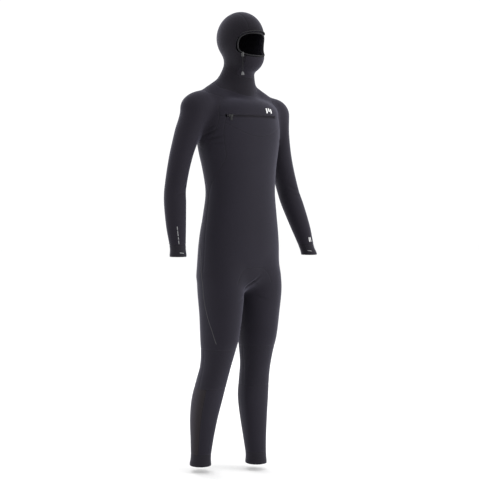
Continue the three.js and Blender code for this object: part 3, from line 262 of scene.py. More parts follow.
def ellipsoid(p, centre, radii):
    d = [p[k] - centre[k] for k in range(3)]
    q = np.sqrt(sum((d[k] / radii[k]) ** 2 for k in range(3)))
    return np.sqrt(sum(c * c for c in d)) * (1 - 1 / np.maximum(q, 1e-3))


def cone(p, start, end, radii):
    axis = np.array(end, float) - start
    d = [p[k] - start[k] for k in range(3)]
    h = np.clip(sum(d[k] * axis[k] for k in range(3)) / (axis @ axis), 0, 1)
    away = np.sqrt(sum((d[k] - h * axis[k]) ** 2 for k in range(3)))
    return away - (radii[0] + (radii[1] - radii[0]) * h)


def join(a, b, softness):
    h = np.maximum(softness - np.abs(a - b), 0) / softness
    return np.minimum(a, b) - h * h * softness / 4


def trunk_field(p):
    """The suit without its sleeves."""
    d = chain(p, TORSO, 1, 2.3, 72, 70)
    for name, side in SIDES.items():
        d = join(d, chain(p, LEGS[name], side, 2.1, 70), 24)
    d = join(d, cone(p, (0, 24, 32), (-158, 10, -52), (50, 44)), 36)
    d = join(d, cone(p, (0, 24, 20), (158, 10, -70), (44, 44)), 36)
    head = join(ellipsoid(p, (0, -8, 199), (82, 103, 97)), ellipsoid(p, (0, -50, 126), (62, 70, 66)), 30)
    return join(d, join(head, cone(p, (0, 14, -20), (0, -6, 130), (62, 57)), 24), 36)


def suit_field(p):
    d = trunk_field(p)
    for name, side in SIDES.items():
        d = join(d, chain(p, ARMS[name], side, 2, 58), 34)
    return d


def slope(field, points, h=0.5):
    """Gradient of a field at an array of points."""
    out = np.empty_like(points)
    for k in range(3):
        step = np.zeros(3)
        step[k] = h
        out[:, k] = (field((points + step).T) - field((points - step).T)) / (2 * h)
    return out


def normals_at(points, field=suit_field):
    g = slope(field, points)
    return g / np.maximum(np.linalg.norm(g, axis=1), 1e-9)[:, None]


def settle(points, field=suit_field, rounds=4):
    """Moves points onto the skin."""
    for _ in range(rounds):
        g = slope(field, points)
        points = points - g * (field(points.T) / np.maximum((g * g).sum(1), 0.2))[:, None]
    return points


def onto_skin(origins, direction, reach, field=suit_field):
    """Where rays that start inside leave the skin."""
    origins = np.array(origins, float)
    direction = np.array(direction, float)
    low = np.zeros(len(origins))
    high = np.full(len(origins), float(reach))
    for _ in range(22):
        middle = (low + high) / 2
        outside = field((origins + direction * middle[:, None]).T) > 0
        high = np.where(outside, middle, high)
        low = np.where(outside, low, middle)
    return origins + direction * high[:, None]


# The whole skin as one even net of small triangles: a point in every cell that the surface crosses.
NET_CELL = 4.6
NET_LOW = np.array([-352.0, -136.0, -1466.0])
NET_HIGH = np.array([378.0, 176.0, 306.0])


def net_of(field, low, high, cell):
    counts = np.ceil((high - low) / cell).astype(int) + 1
    xs, ys, zs = (low[k] + cell * np.arange(counts[k]) for k in range(3))
    grid = np.empty(counts, np.float32)
    for k, z in enumerate(zs):
        grid[:, :, k] = field((xs[:, None], ys[None, :], np.full((1, 1), z)))
    inside = grid < 0
    strides = np.array([counts[1] * counts[2], counts[2], 1])
    cells, crossings, quads = [], [], []
    for axis in range(3):
        along = np.eye(3, dtype=int)[axis]
        u = strides[(axis + 1) % 3]
        w = strides[(axis + 2) % 3]
        first = np.argwhere(np.diff(inside, axis=axis))
        near = grid[tuple(first.T)]
        far = grid[tuple((first + along).T)]
        point = low + cell * (first + along * (near / (near - far))[:, None])
        cell_id = first @ strides
        around = np.stack([cell_id, cell_id - u, cell_id - u - w, cell_id - w], axis=1)
        around[near > 0] = around[near > 0][:, ::-1]
        cells.append(around.ravel())
        crossings.append(np.repeat(point, 4, axis=0))
        quads.append(around)
    ids, index = np.unique(np.concatenate(cells), return_inverse=True)
    crossings = np.concatenate(crossings)
    share = np.bincount(index)
    points = np.stack([np.bincount(index, crossings[:, k]) / share for k in range(3)], axis=1)
    return points, np.searchsorted(ids, np.concatenate(quads))


def relax(points, quads, rounds=3):
    """Evens the net out along the skin."""
    a = quads.ravel()
    b = np.roll(quads, -1, axis=1).ravel()
    share = np.bincount(a, minlength=len(points)) + np.bincount(b, minlength=len(points))
    for _ in range(rounds):
        mean = np.stack([np.bincount(a, points[b, k], len(points)) + np.bincount(b, points[a, k], len(points))
                         for k in range(3)], axis=1) / share[:, None]
        points = settle(points + (mean - points) * 0.6, rounds=2)
    return points


class Skin:
    """The net as triangles.  Cutting it along a seam puts an edge where the seam's value is zero."""

    SNAP = 1.2            # points nearer to a seam than this slide onto it
    LONGEST_SLIDE = 1.92
    MOST_TURNED = 0.7     # cosine of the turn that a sliding point may give a triangle
    ON_SEAM = 0.12        # what is left nearer than this counts as on the seam

    def __init__(self, points, triangles):
        self.points = points
        self.triangles = triangles
        self.pinned = np.zeros(len(points), bool)

    def middles(self):
        return self.points[self.triangles].mean(axis=1)

    def facing(self, points):
        """Unit normals of the triangles."""
        a, b, c = (points[self.triangles[:, k]] for k in range(3))
        n = np.cross(b - a, c - a)
        return n / np.maximum(np.linalg.norm(n, axis=1), 1e-9)[:, None]

    def cut(self, seam, where):
        values = seam(self.points.T)
        live = where(self.points.T)
        near = live & ~self.pinned & (np.abs(values) < self.SNAP)
        moved = self.points[near]
        for _ in range(3):
            n = normals_at(moved)
            g = slope(seam, moved)
            g -= n * (g * n).sum(1)[:, None]
            moved = moved - g * (seam(moved.T) / np.maximum((g * g).sum(1), 0.05))[:, None]
            moved = settle(moved, rounds=1)
        kept = np.linalg.norm(moved - self.points[near], axis=1) < self.LONGEST_SLIDE
        chosen, places = np.flatnonzero(near)[kept], moved[kept]
        trial = self.points.copy()
        trial[chosen] = places
        turned = (self.facing(self.points) * self.facing(trial)).sum(1) < self.MOST_TURNED
        sound = ~np.isin(chosen, self.triangles[turned])
        self.points[chosen[sound]] = places[sound]
        values[chosen[sound]] = 0
        values[live & (np.abs(values) < self.ON_SEAM)] = 0
        self.pinned |= live & (values == 0)
        t = self.triangles
        a, b = t, np.roll(t, -1, axis=1)
        crossed = live[a] & live[b] & (values[a] * values[b] < 0)
        keys = np.where(a < b, a * len(values) + b, b * len(values) + a)
        unique, index = np.unique(keys[crossed], return_inverse=True)
        if not len(unique):
            return
        low, high = unique // len(values), unique % len(values)
        t_along = values[low] / (values[low] - values[high])
        fresh = settle(self.points[low] + (self.points[high] - self.points[low]) * t_along[:, None], rounds=2)
        made = np.full(crossed.shape, -1)
        made[crossed] = len(self.points) + index
        self.points = np.concatenate([self.points, fresh])
        self.pinned = np.concatenate([self.pinned, np.ones(len(fresh), bool)])
        count = crossed.sum(1)
        one = np.flatnonzero(count == 1)
        turn = crossed[one].argmax(1)
        c0, c1, c2 = (t[one, (turn + k) % 3] for k in range(3))
        m = made[one, turn]
        parts = [t[count == 0], np.stack([c0, m, c2], 1), np.stack([m, c1, c2], 1)]
        two = np.flatnonzero(count == 2)
        turn = ((~crossed[two]).argmax(1) + 2) % 3
        c0, c1, c2 = (t[two, (turn + k) % 3] for k in range(3))
        m0, m2 = made[two, turn], made[two, (turn + 2) % 3]
        parts += [np.stack([c0, m0, m2], 1), np.stack([m0, c1, c2], 1), np.stack([m0, c2, m2], 1)]
        self.triangles = np.concatenate(parts)


net_points, net_quads = net_of(suit_field, NET_LOW, NET_HIGH, NET_CELL)
net_points = relax(settle(net_points), net_quads)
diagonals = [np.linalg.norm(net_points[net_quads[:, k]] - net_points[net_quads[:, k + 2]], axis=1)
             for k in (0, 1)]
split = np.where((diagonals[0] > diagonals[1])[:, None], np.roll(net_quads, -1, axis=1), net_quads)
suit = Skin(net_points, np.concatenate([split[:, [0, 1, 2]], split[:, [0, 2, 3]]]))


# ---- seams: where the panels meet ----------------------------------------------------------------
# Each seam is a value that is zero along the glue line.  The trunk has a neck seam, two armholes, two
# groin seams, a zip slot, a scooped chest patch, curved side panels, a seat seam and a crotch gusset.
def plane(point, normal):
    normal = np.array(normal, float) / np.linalg.norm(normal)
    offset = normal @ np.array(point, float)
    return lambda p: normal[0] * p[0] + normal[1] * p[1] + normal[2] * p[2] - offset


def smoothstep(value, low, high):
    t = np.clip((value - low) / (high - low), 0, 1)
    return t * t * (3 - 2 * t)


ZIP_DROP = 101.0
ZIP_LENGTH = 228.0
ZIP_SHIFT = -8.0
ZIP_SLOT_HEIGHT = 11.0
NECK_ZONE = 50.0
NECK_NORMAL = np.array([0, -0.8, 1.0]) / math.hypot(0.8, 1)
NECK_POINT = np.array([0, 0, 24.0])
neck_seam = plane(NECK_POINT, NECK_NORMAL)
collar_seam = plane(NECK_POINT + NECK_NORMAL * NECK_ZONE, NECK_NORMAL)
GROIN_SLOPE = 0.506
GROIN_POINT = np.array([0, 0, CROTCH])
groin_normals = {name: np.array([-GROIN_SLOPE * side, 0, 1]) / math.hypot(GROIN_SLOPE, 1)
                 for name, side in SIDES.items()}
groin_seams = {name: plane(GROIN_POINT, groin_normals[name]) for name in SIDES}
ARMHOLE = {"right": (12, -112, 76, 108), "left": (12, -130, 76, 114)}
ARMHOLE_REACH = 96
SLEEVES_FOOT, TRUNK_FOOT, LEGS_TOP = -680, -800, -640
LEGS_REACH = 215
ON_TRUNK = 9.0                     # the sleeve's skin stands further than this from the trunk's


def armhole_seam(name):
    y, z, depth, height = ARMHOLE[name]
    side = SIDES[name]
    return lambda p: np.maximum((np.hypot((p[1] - y) / depth, (p[2] - z) / height) - 1) * depth,
                                ARMHOLE_REACH - side * p[0])


armhole_seams = {name: armhole_seam(name) for name in SIDES}


def is_arm(p, name):
    side = SIDES[name]
    outside = (side * p[0] > ARMHOLE_REACH) & (p[2] > SLEEVES_FOOT)
    return outside & ((armhole_seams[name](p) < 0) | (trunk_field(p) > ON_TRUNK))


def not_arm(p):
    return ~is_arm(p, "right") & ~is_arm(p, "left")


yoke_seam = plane((0, 0, -ZIP_DROP), (0, 0, 1))
shoulder_seam = plane((0, 14, 0), (0, 1, 0))
SIDE_PANEL_END = -0.53 * TORSO_LENGTH


def side_edge(z, top):
    t = smoothstep(-z, 240, -SIDE_PANEL_END)
    return top + (5 - top) * t


def scoop_seam(p):
    return p[2] + 176 - 36 * ((p[0] - 10) / 115) ** 2


def front_seam(p):
    return p[1] - side_edge(p[2], -80)


def back_seam(p):
    return p[1] - side_edge(p[2], 94)


def seat_seam(p):
    return p[2] + 0.62 * TORSO_LENGTH + 26 * (p[0] / 150) ** 2


def gusset_seam(p):
    return p[2] - (CROTCH + 100 - 50 * (p[0] / 78) ** 4)


SLOT_REACH = ZIP_LENGTH / 2 + 1
slot_seams = [plane((0, 0, -ZIP_DROP + ZIP_SLOT_HEIGHT / 2), (0, 0, 1)),
              plane((0, 0, -ZIP_DROP - ZIP_SLOT_HEIGHT / 2), (0, 0, -1)),
              plane((ZIP_SHIFT - SLOT_REACH, 0, 0), (-1, 0, 0)),
              plane((ZIP_SHIFT + SLOT_REACH, 0, 0), (1, 0, 0))]


def in_slot(p):
    return (p[1] < 0) & np.all([seam(p) < 0 for seam in slot_seams], axis=0)


def near_slot(p):
    return (p[1] < 0) & (np.abs(p[2] + ZIP_DROP) < 20) & (np.abs(p[0] - ZIP_SHIFT) < SLOT_REACH + 12)


def trunk(p):
    return not_arm(p) & (p[2] > TRUNK_FOOT) & (neck_seam(p) < 6)


def flanks(p):
    return trunk(p) & (np.abs(p[0]) > 50) & (p[2] < -ZIP_DROP + 1)


for name, side in SIDES.items():
    suit.cut(armhole_seams[name], lambda p: (side * p[0] > 80) & (p[2] > -300) & (trunk_field(p) < ON_TRUNK))
    suit.cut(groin_seams[name], lambda p: ((side * p[0] > -4) & (np.abs(p[0]) < LEGS_REACH)
                                           & (p[2] < LEGS_TOP) & (p[2] > TRUNK_FOOT)))
suit.cut(neck_seam, lambda p: (p[2] > -60) & (np.abs(p[0]) < 130))
suit.cut(yoke_seam, lambda p: trunk(p) & (p[2] > -130))
for seam in slot_seams:
    suit.cut(seam, near_slot)
suit.cut(front_seam, flanks)
suit.cut(back_seam, lambda p: flanks(p) & (p[2] > SIDE_PANEL_END - 4))
suit.cut(scoop_seam, lambda p: trunk(p) & (p[1] < 0) & (p[2] < -108))
suit.cut(seat_seam, lambda p: trunk(p) & (p[1] > 0))
suit.cut(gusset_seam, lambda p: trunk(p) & (p[1] < 0) & (p[2] < LEGS_TOP))
suit.cut(shoulder_seam, lambda p: trunk(p) & (p[2] > -ZIP_DROP - 1))

# The sleeves and legs are cut across, where each stretch zone begins and ends.
SHOULDER_ZONE, ELBOW_ZONE, HIP_ZONE, KNEE_ZONE = 80.0, 100.0, 150.0, 156.0
WRIST_SEAL, ANKLE_SEAL = 42.0, 46.0
SLEEVE_START = 400.0
ELBOW_HEIGHT = -75 - 0.544 * ARM_LENGTH
ARM_LEAN = 0.2
KNEE_HEIGHT = CROTCH - 0.425 * LEG_LENGTH


def axis_at(rows, side, z):
    middle_x, middle_y = section(rows, np.array([float(z)]))[:2]
    return np.array([side * middle_x[0], middle_y[0], z])


def level(z):
    return plane((0, 0, z), (0, 0, 1))


def on_leg(p, name):
    return (SIDES[name] * p[0] > -1) & (p[2] < -790) & (np.abs(p[0]) < LEGS_REACH)


arm_cuts, leg_cuts, elbow_middle, elbow_normal = {}, {}, {}, {}
for name, side in SIDES.items():
    rows = ARMS[name]
    elbow_middle[name] = axis_at(rows, side, ELBOW_HEIGHT)
    elbow_normal[name] = np.array([-side * ARM_LEAN, 0, 1]) / math.hypot(ARM_LEAN, 1)
    elbow_cut = lambda along: plane(elbow_middle[name] + elbow_normal[name] * along, elbow_normal[name])
    arm_cuts[name] = {
        "hem": level(rows[0, 0]), "seal": level(rows[0, 0] + WRIST_SEAL),
        "elbow_low": elbow_cut(-ELBOW_ZONE / 2), "elbow_high": elbow_cut(ELBOW_ZONE / 2),
        "sleeve": plane((side * (SLEEVE_START + SHOULDER_ZONE * math.sqrt(2)), 0, 0), (-side, 0, 1))}
    for seam in arm_cuts[name].values():
        suit.cut(seam, lambda p: is_arm(p, name))
    rows = LEGS[name]
    leg_cuts[name] = {
        "hem": level(rows[0, 0]), "seal": level(rows[0, 0] + ANKLE_SEAL),
        "knee_low": level(KNEE_HEIGHT - KNEE_ZONE / 2), "knee_high": level(KNEE_HEIGHT + KNEE_ZONE / 2),
        "hip": plane(GROIN_POINT - groin_normals[name] * HIP_ZONE, groin_normals[name])}
    for seam in leg_cuts[name].values():
        suit.cut(seam, lambda p: on_leg(p, name))
suit.cut(plane((0, 0, 0), (1, 0, 0)), lambda p: (p[2] < CROTCH + 6) & (p[2] > -880))


def leg_middle(p, name):
    middle_x, middle_y = section(LEGS[name], p[2])[:2]
    return p[0] * SIDES[name] - middle_x, p[1] - middle_y


KNEE_SEAM_DEPTH = 6
CALF_ACROSS, CALF_DEEP = 0.574, 0.819      # the calf seam runs 35 degrees round from the side


def knee_seam(name):
    return lambda p: leg_middle(p, name)[1] - KNEE_SEAM_DEPTH


def calf_seam(name):
    def seam(p):
        across, deep = leg_middle(p, name)
        return CALF_ACROSS * across + CALF_DEEP * deep
    return seam


for name, side in SIDES.items():
    cuts = leg_cuts[name]
    for seam, top, foot in ((knee_seam, "knee_high", "knee_low"), (calf_seam, "knee_low", "seal")):
        suit.cut(seam(name), lambda p: (side * p[0] > 0) & (cuts[top](p) < 1) & (cuts[foot](p) > -1))

# The hood is cut round the face and into a crown strip, a chin piece and two sides.
FACE_HALF_WIDTH, FACE_HALF_HEIGHT, FACE_HEIGHT = 66.0, 47.0, 165.0
CROWN_HALF_WIDTH, CHIN_HALF_WIDTH = 31.0, 44.0


def face_opening(p):
    across = np.abs(p[0] / FACE_HALF_WIDTH)
    up = np.abs((p[2] - FACE_HEIGHT) / FACE_HALF_HEIGHT)
    shape = (across ** 3 + up ** 3) ** (1 / 3)
    return np.where(p[1] > -20, 60.0, FACE_HALF_HEIGHT * (shape - 1))


def over_face(p):
    return (p[1] < -20) & (p[2] < FACE_HEIGHT)


def near_head(p):
    return (np.abs(p[0]) < 110) & (p[2] > 20)


def on_hood(p):
    return (collar_seam(p) > -1) & near_head(p)


suit.cut(collar_seam, near_head)
suit.cut(face_opening, lambda p: on_hood(p) & (p[1] < -22))
for side in SIDES.values():
    suit.cut(plane((side * CROWN_HALF_WIDTH, 0, 0), (side, 0, 0)), lambda p: on_hood(p) & ~over_face(p))
    suit.cut(plane((side * CHIN_HALF_WIDTH, 0, 0), (side, 0, 0)), lambda p: on_hood(p) & over_face(p))


# ---- neoprene cloth: what every panel is made of -------------------------------------------------
# Foam rubber faced with knitted nylon, dyed almost black with a violet cast.  Panels are glued edge to
# edge and blind-stitched, so each seam is a shallow groove with a fine row of thread beside it.
def group_with(name, inputs, outputs):
    """A new shader group with number sockets: the group, its input node and its output node."""
    group = bpy.data.node_groups.new(name, "ShaderNodeTree")
    for label, value in inputs.items():
        socket = group.interface.new_socket(label, in_out="INPUT", socket_type="NodeSocketFloat")
        socket.default_value = value
    for label in outputs:
        group.interface.new_socket(label, in_out="OUTPUT", socket_type="NodeSocketFloat")
    return group, group.nodes.new("NodeGroupInput"), group.nodes.new("NodeGroupOutput")


def place_on(tree):
    """Where on the piece a point is."""
    return put_node(tree, "ShaderNodeTexCoord").outputs["Object"]


def place_parts(tree):
    """Where on the piece a point is, along each of the three directions."""
    return put_node(tree, "ShaderNodeSeparateXYZ", Vector=place_on(tree)).outputs


def slanting_wave(tree, turns):
    """A sine wave that runs along any line of the piece, whichever way the line goes."""
    xyz = place_parts(tree)
    run = sums(tree, "ADD", sums(tree, "ADD", xyz["X"], xyz["Y"]), xyz["Z"])
    return sums(tree, "SINE", sums(tree, "MULTIPLY", run, turns))


def knit_group():
    """Height of a fine knit: loops in rows, on any side of a body."""
    group, given, out = group_with("knit", {"Pitch": 1.4 * MM}, ["Height"])
    xyz = place_parts(group)
    turns = sums(group, "DIVIDE", 2 * math.pi, given.outputs["Pitch"])
    waves = [sums(group, "SINE", sums(group, "MULTIPLY", xyz[k], turns)) for k in range(3)]
    across = sums(group, "ADD", waves[0], waves[1])
    loops = sums(group, "MULTIPLY", across, waves[2])
    group.links.new(sums(group, "MULTIPLY_ADD", loops, 0.25, 0.5), out.inputs["Height"])
    return group


def dye_group():
    """Colour variation of dyed cloth: broad cloudiness and fine flecks, around 1."""
    group, given, out = group_with("dye_variation", {"Fleck_Scale": 900.0}, ["Value"])
    place = place_on(group)
    cloud = put_node(group, "ShaderNodeTexNoise", Vector=place, Scale=7.0, Detail=5.0, Roughness=0.6)
    fleck_scale = given.outputs["Fleck_Scale"]
    fleck = put_node(group, "ShaderNodeTexNoise", Vector=place, Scale=fleck_scale, Detail=2.0)
    both = sums(group, "ADD", sums(group, "MULTIPLY", cloud.outputs["Fac"], 0.3),
                sums(group, "MULTIPLY", fleck.outputs["Fac"], 0.5))
    group.links.new(sums(group, "ADD", both, 0.6), out.inputs["Value"])
    return group


def seam_group():
    """Masks beside a panel's edge, from the distance to it: the groove, and a dashed row of thread."""
    group, given, out = group_with("blind_stitch", {"Row": 2.8, "Dash": 3.2 * MM}, ["Groove", "Thread"])
    away = put_node(group, "ShaderNodeAttribute", attribute_name="edge_distance").outputs["Fac"]
    groove = sums(group, "SUBTRACT", 1.0, ramp(group, away, 0.2, 1.9))
    off_row = sums(group, "ABSOLUTE", sums(group, "SUBTRACT", away, given.outputs["Row"]))
    row = sums(group, "SUBTRACT", 1.0, ramp(group, off_row, 0.2, 0.6))
    wave = slanting_wave(group, sums(group, "DIVIDE", 2 * math.pi, given.outputs["Dash"]))
    group.links.new(groove, out.inputs["Groove"])
    group.links.new(sums(group, "MULTIPLY", row, ramp(group, wave, -0.5, 0.1)), out.inputs["Thread"])
    return group


knit = knit_group()
dye_variation = dye_group()
blind_stitch = seam_group()


def placed(finish, group, **settings):
    node = finish.tree.nodes.new("ShaderNodeGroup")
    node.node_tree = group
    for key, value in settings.items():
        node.inputs[key].default_value = value
    return node


def dyed(finish, colour, **settings):
    """A colour with the variation of its dye."""
    variation = placed(finish, dye_variation, **settings).outputs["Value"]
    node = finish.node("ShaderNodeVectorMath", operation="SCALE", _0=colour, Scale=variation)
    return node.outputs["Vector"]


SHEEN_TINT = (0.56, 0.55, 0.72, 1.0)


def neoprene(name, colour, thread, rough=0.78, pitch=1.4, relief=0.35, pattern=None):
    """Jersey-faced neoprene.  A pattern gives a mask, the colour it is printed in, and its height."""
    f = Finish(name, rough, specular=0.14, sheen=0.25)
    f.shader.inputs["Sheen Tint"].default_value = SHEEN_TINT
    seam = placed(f, blind_stitch)
    shade = dyed(f, colour)
    height = placed(f, knit, Pitch=pitch * MM).outputs["Height"]
    if pattern:
        mask, print_colour, print_height = pattern(f)
        shade = blend_colour(f.tree, mask, shade, print_colour)
        height = sums(f.tree, "ADD", height, sums(f.tree, "MULTIPLY", mask, print_height))
    # Painted shade: the crease mask darkens the cloth's colour in the creases, towards dark, the same colour
    # that also darkens the seam joints.
    crease_shade_mask = f.node("ShaderNodeAttribute", attribute_name="painted_crease_shade").outputs["Fac"]
    dark = [c * 0.3 for c in colour]
    shade = blend_colour(f.tree, sums(f.tree, "MULTIPLY", crease_shade_mask, 0.75), shade, dark)
    shade = blend_colour(f.tree, sums(f.tree, "MULTIPLY", seam.outputs["Groove"], 0.62), shade, dark)
    shade = blend_colour(f.tree, sums(f.tree, "MULTIPLY", seam.outputs["Thread"], 0.55), shade, thread)
    f.link(shade, f.shader.inputs["Base Color"])
    height = sums(f.tree, "ADD", height, sums(f.tree, "MULTIPLY", seam.outputs["Thread"], 1.2))
    bump = f.node("ShaderNodeBump", Strength=relief, Distance=0.35 * MM, Height=height)
    f.link(bump.outputs["Normal"], f.shader.inputs["Normal"])
    return f


class Cloth:
    """A panel's mesh while it is being made: outer face, inner face and the cut edge between them."""

    def __init__(self, mask, plain):
        used, index = np.unique(suit.triangles[mask], return_inverse=True)
        self.faces = index.reshape(-1, 3)
        self.points = suit.points[used]
        self.normals = normals_at(self.points)
        a, b = self.faces, np.roll(self.faces, -1, axis=1)
        keys = (a * len(used) + b).ravel()
        back = (b * len(used) + a).ravel()
        alone = ~np.isin(keys, back)
        self.border = np.stack([a.ravel()[alone], b.ravel()[alone]], axis=1)
        flush = np.zeros(len(self.points), bool)
        for seam in plain:
            flush |= np.abs(seam(self.points.T)) < 0.4
        sewn = self.border[~(flush[self.border[:, 0]] & flush[self.border[:, 1]])]
        self.edge_distance = self.distance_to(self.points[sewn[:, 0]], self.points[sewn[:, 1]])

    def distance_to(self, starts, ends, reach=24.0):
        """Distance from each point to the nearest stretch of the panel's edge, up to reach."""
        out = np.full(len(self.points), reach)
        run = ends - starts
        length = np.maximum((run * run).sum(1), 1e-9)
        for first in range(0, len(self.points), 2000):
            p = self.points[first:first + 2000]
            middle, half_size = (p.min(0) + p.max(0)) / 2, (p.max(0) - p.min(0)) / 2
            near = np.flatnonzero((np.abs(starts - middle) < half_size + reach).all(1))
            if not len(near):
                continue
            d = p[:, None] - starts[near][None]
            t = np.clip((d * run[near][None]).sum(2) / length[near][None], 0, 1)
            away = np.linalg.norm(d - run[near][None] * t[..., None], axis=2).min(1)
            out[first:first + 2000] = np.minimum(out[first:first + 2000], away)
        return out


SEAM_DIP = 0.75
NO_EDGE = 20.0
FOAM = {"body": 4.5, "limb": 4.0, "seal": 3.0}


def creases_near(points):
    """Each crease that reaches some points: which they are, how far away, and how full it is there."""
    for line, width, depth in crease_lines:
        near = (np.abs(points - line.mean(0)) < np.ptp(line, axis=0) / 2 + 3 * width).all(axis=1)
        if near.any():
            gaps = np.linalg.norm(points[near][:, None] - line[None], axis=2)
            fullness = np.sin(np.pi * (0.06 + 0.88 * gaps.argmin(axis=1) / (len(line) - 1)))
            yield near, gaps.min(axis=1), fullness, width, depth


def folds(points, normals):
    """Presses the soft creases in, where the neoprene bunches, with a low ridge on both sides of each."""
    lift = np.zeros(len(points))
    for near, away, fullness, width, depth in creases_near(points):
        hollow = np.exp(-(away / width) ** 2)
        ridge = np.exp(-((away - 1.9 * width) / width) ** 2)
        lift[near] -= depth * fullness * (hollow - 0.15 * ridge)
    return points + normals * lift[:, None]


def fold_shade(points):
    """How deep in a crease each point lies, 0 to 1: the mask of the painted crease shade that darkens the
    cloth's colour there.
    """
    shade = np.zeros(len(points))
    for near, away, fullness, width, depth in creases_near(points):
        reach = np.exp(-(away / (0.7 * width)) ** 2) * fullness * min(depth / 4, 1)
        shade[near] = np.maximum(shade[near], reach)
    return shade


CREASES = [  # start, end, width, depth
    ((-180, -12, -178), (-146, -68, -150), 4.5, 4.2), ((-176, -30, -190), (-138, -86, -178), 4.5, 3.2),
    ((-172, -22, -160), (-150, -56, -136), 4, 2.6), ((-168, -44, -204), (-134, -90, -204), 5, 1.8),
    ((178, -14, -186), (152, -66, -160), 5, 3.4), ((172, -26, -200), (146, -76, -190), 5, 2.4),
    ((-150, 66, -150), (-172, 30, -188), 5, 3.2), ((152, 66, -160), (176, 30, -196), 5, 3.2),
    ((-36, -80, -752), (32, -98, -700), 4.5, 4.4), ((26, -90, -742), (-10, -98, -722), 5, 1.8),
    ((-12, -70, -774), (-72, -96, -792), 6, 1.6), ((14, -70, -774), (70, -92, -796), 6, 1.4),
    ((-230, -14, -352), (-268, -8, -372), 5, 2.0), ((-246, -12, -384), (-300, -10, -398), 5, 1.6),
    ((240, -6, -360), (292, -2, -380), 5, 2.0), ((258, -4, -392), (318, -10, -404), 5, 1.6),
    ((-134, 92, -1050), (-58, 92, -1062), 6, 2.8), ((-132, 100, -1078), (-60, 100, -1090), 5, 2.0),
    ((54, 78, -1052), (132, 78, -1064), 6, 2.8), ((56, 82, -1080), (130, 82, -1092), 5, 2.0),
    ((-130, 74, -1402), (-66, 78, -1408), 5, 1.2), ((68, -18, -1400), (132, -18, -1406), 5, 1.2),
    ((-60, 84, 46), (60, 84, 46), 7, 2.4), ((-50, -36, 44), (50, -36, 44), 6, 1.4)]
crease_lines = [(settle(np.linspace(start, end, 24), rounds=8), width, depth)
                for start, end, width, depth in CREASES]


def mesh_object(name, points, faces, finish, attributes=None):
    """A smooth-shaded mesh from points in millimetres."""
    mesh = bpy.data.meshes.new(name)
    face_lists = faces.tolist() if isinstance(faces, np.ndarray) else faces
    mesh.from_pydata((np.asarray(points) * MM).tolist(), [], face_lists)
    for label, values in (attributes or {}).items():
        mesh.attributes.new(label, "FLOAT", "POINT").data.foreach_set("value", np.asarray(values, np.float32))
    mesh.materials.append(finish.material)
    mesh.shade_smooth()
    thing = bpy.data.objects.new(name, mesh)
    bpy.context.scene.collection.objects.link(thing)
    return thing


def follow(piece, follows):
    """Rides on one body; a piece given two bodies and the ends of its stretch zone is only baked where it
    stands.
    """
    if isinstance(follows, str):
        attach(piece, follows)
    else:
        first, second, start, end = follows
        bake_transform(piece)


def stand_for(piece, node, follows):
    """Puts a finished piece in the place of its solid."""
    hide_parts(node)
    follow(piece, follows)
    return piece


def sew(name, mask, foam, finish, follows, plain=()):
    """Makes a panel of the masked triangles.  Edges along the plain seams are butted flush."""
    cloth = Cloth(mask, plain)
    count = len(cloth.points)
    outer = folds(cloth.points, cloth.normals)
    outer = outer - cloth.normals * (SEAM_DIP * np.exp(-(cloth.edge_distance / 2.0) ** 2))[:, None]
    inner = outer - cloth.normals * (foam - SEAM_DIP)
    rim = np.unique(cloth.border)
    place = np.zeros(count, int)
    place[rim] = np.arange(len(rim))
    top, low = 2 * count, 2 * count + len(rim)
    a, b = place[cloth.border.T]
    walls = [np.stack([top + b, top + a, low + a], axis=1), np.stack([top + b, low + a, low + b], axis=1)]
    points = np.concatenate([outer, inner, outer[rim], inner[rim]])
    faces = np.concatenate([cloth.faces, cloth.faces[:, ::-1] + count, *walls])
    hidden = count + 2 * len(rim)
    edge = np.concatenate([cloth.edge_distance, np.full(hidden, NO_EDGE)])
    # The painted crease shade, kept on the outer face's points for the shader.
    crease_shade_mask = np.concatenate([fold_shade(cloth.points), np.zeros(hidden)])
    panel = mesh_object(name, points, faces, finish, {"edge_distance": edge, "painted_crease_shade": crease_shade_mask})
    return stand_for(panel, name, follows)


# ---- trunk panels --------------------------------------------------------------------------------
# Front and back yokes, a scooped chest patch, front and back, two side panels, seat and crotch gusset,
# all of the thickest foam with the jersey outside.
BODY_DYE = (0.0100, 0.0086, 0.0138)
THREAD = (0.03, 0.028, 0.034)
body_jersey = neoprene("body_jersey", BODY_DYE, THREAD)
chest_jersey = neoprene("chest_jersey", (0.0102, 0.0088, 0.0142), THREAD)
gusset_jersey = neoprene("gusset_jersey", (0.0096, 0.0083, 0.0132), THREAD, pitch=2.0, relief=0.5)

middles = suit.middles().T
trunk_faces = (not_arm(middles) & (neck_seam(middles) < 0) & ~in_slot(middles)
               & (groin_seams["right"](middles) > 0) & (groin_seams["left"](middles) > 0))
is_yoke = yoke_seam(middles) > 0
is_front = front_seam(middles) < 0
is_back = back_seam(middles) > 0
flank = ~is_yoke & ~is_front & ~is_back
TRUNK_PANELS = {
    "front_yoke": is_yoke & (shoulder_seam(middles) < 0),
    "back_yoke": is_yoke & (shoulder_seam(middles) > 0),
    "front_body_panel": ~is_yoke & is_front & (scoop_seam(middles) < 0) & (gusset_seam(middles) > 0),
    "right_side_panel": flank & (middles[0] < 0),
    "left_side_panel": flank & (middles[0] > 0),
    "back_panel": ~is_yoke & is_back & (seat_seam(middles) > 0),
    "seat_panel": ~is_yoke & is_back & (seat_seam(middles) < 0)}
groins = list(groin_seams.values())
for panel_name, mask in TRUNK_PANELS.items():
    sew(panel_name, trunk_faces & mask, FOAM["body"], body_jersey, "torso", groins)
sew("chest_panel", trunk_faces & ~is_yoke & is_front & (scoop_seam(middles) > 0), FOAM["body"],
    chest_jersey, "torso")
sew("crotch_gusset", trunk_faces & is_front & (gusset_seam(middles) < 0), FOAM["body"],
    gusset_jersey, "torso", groins)


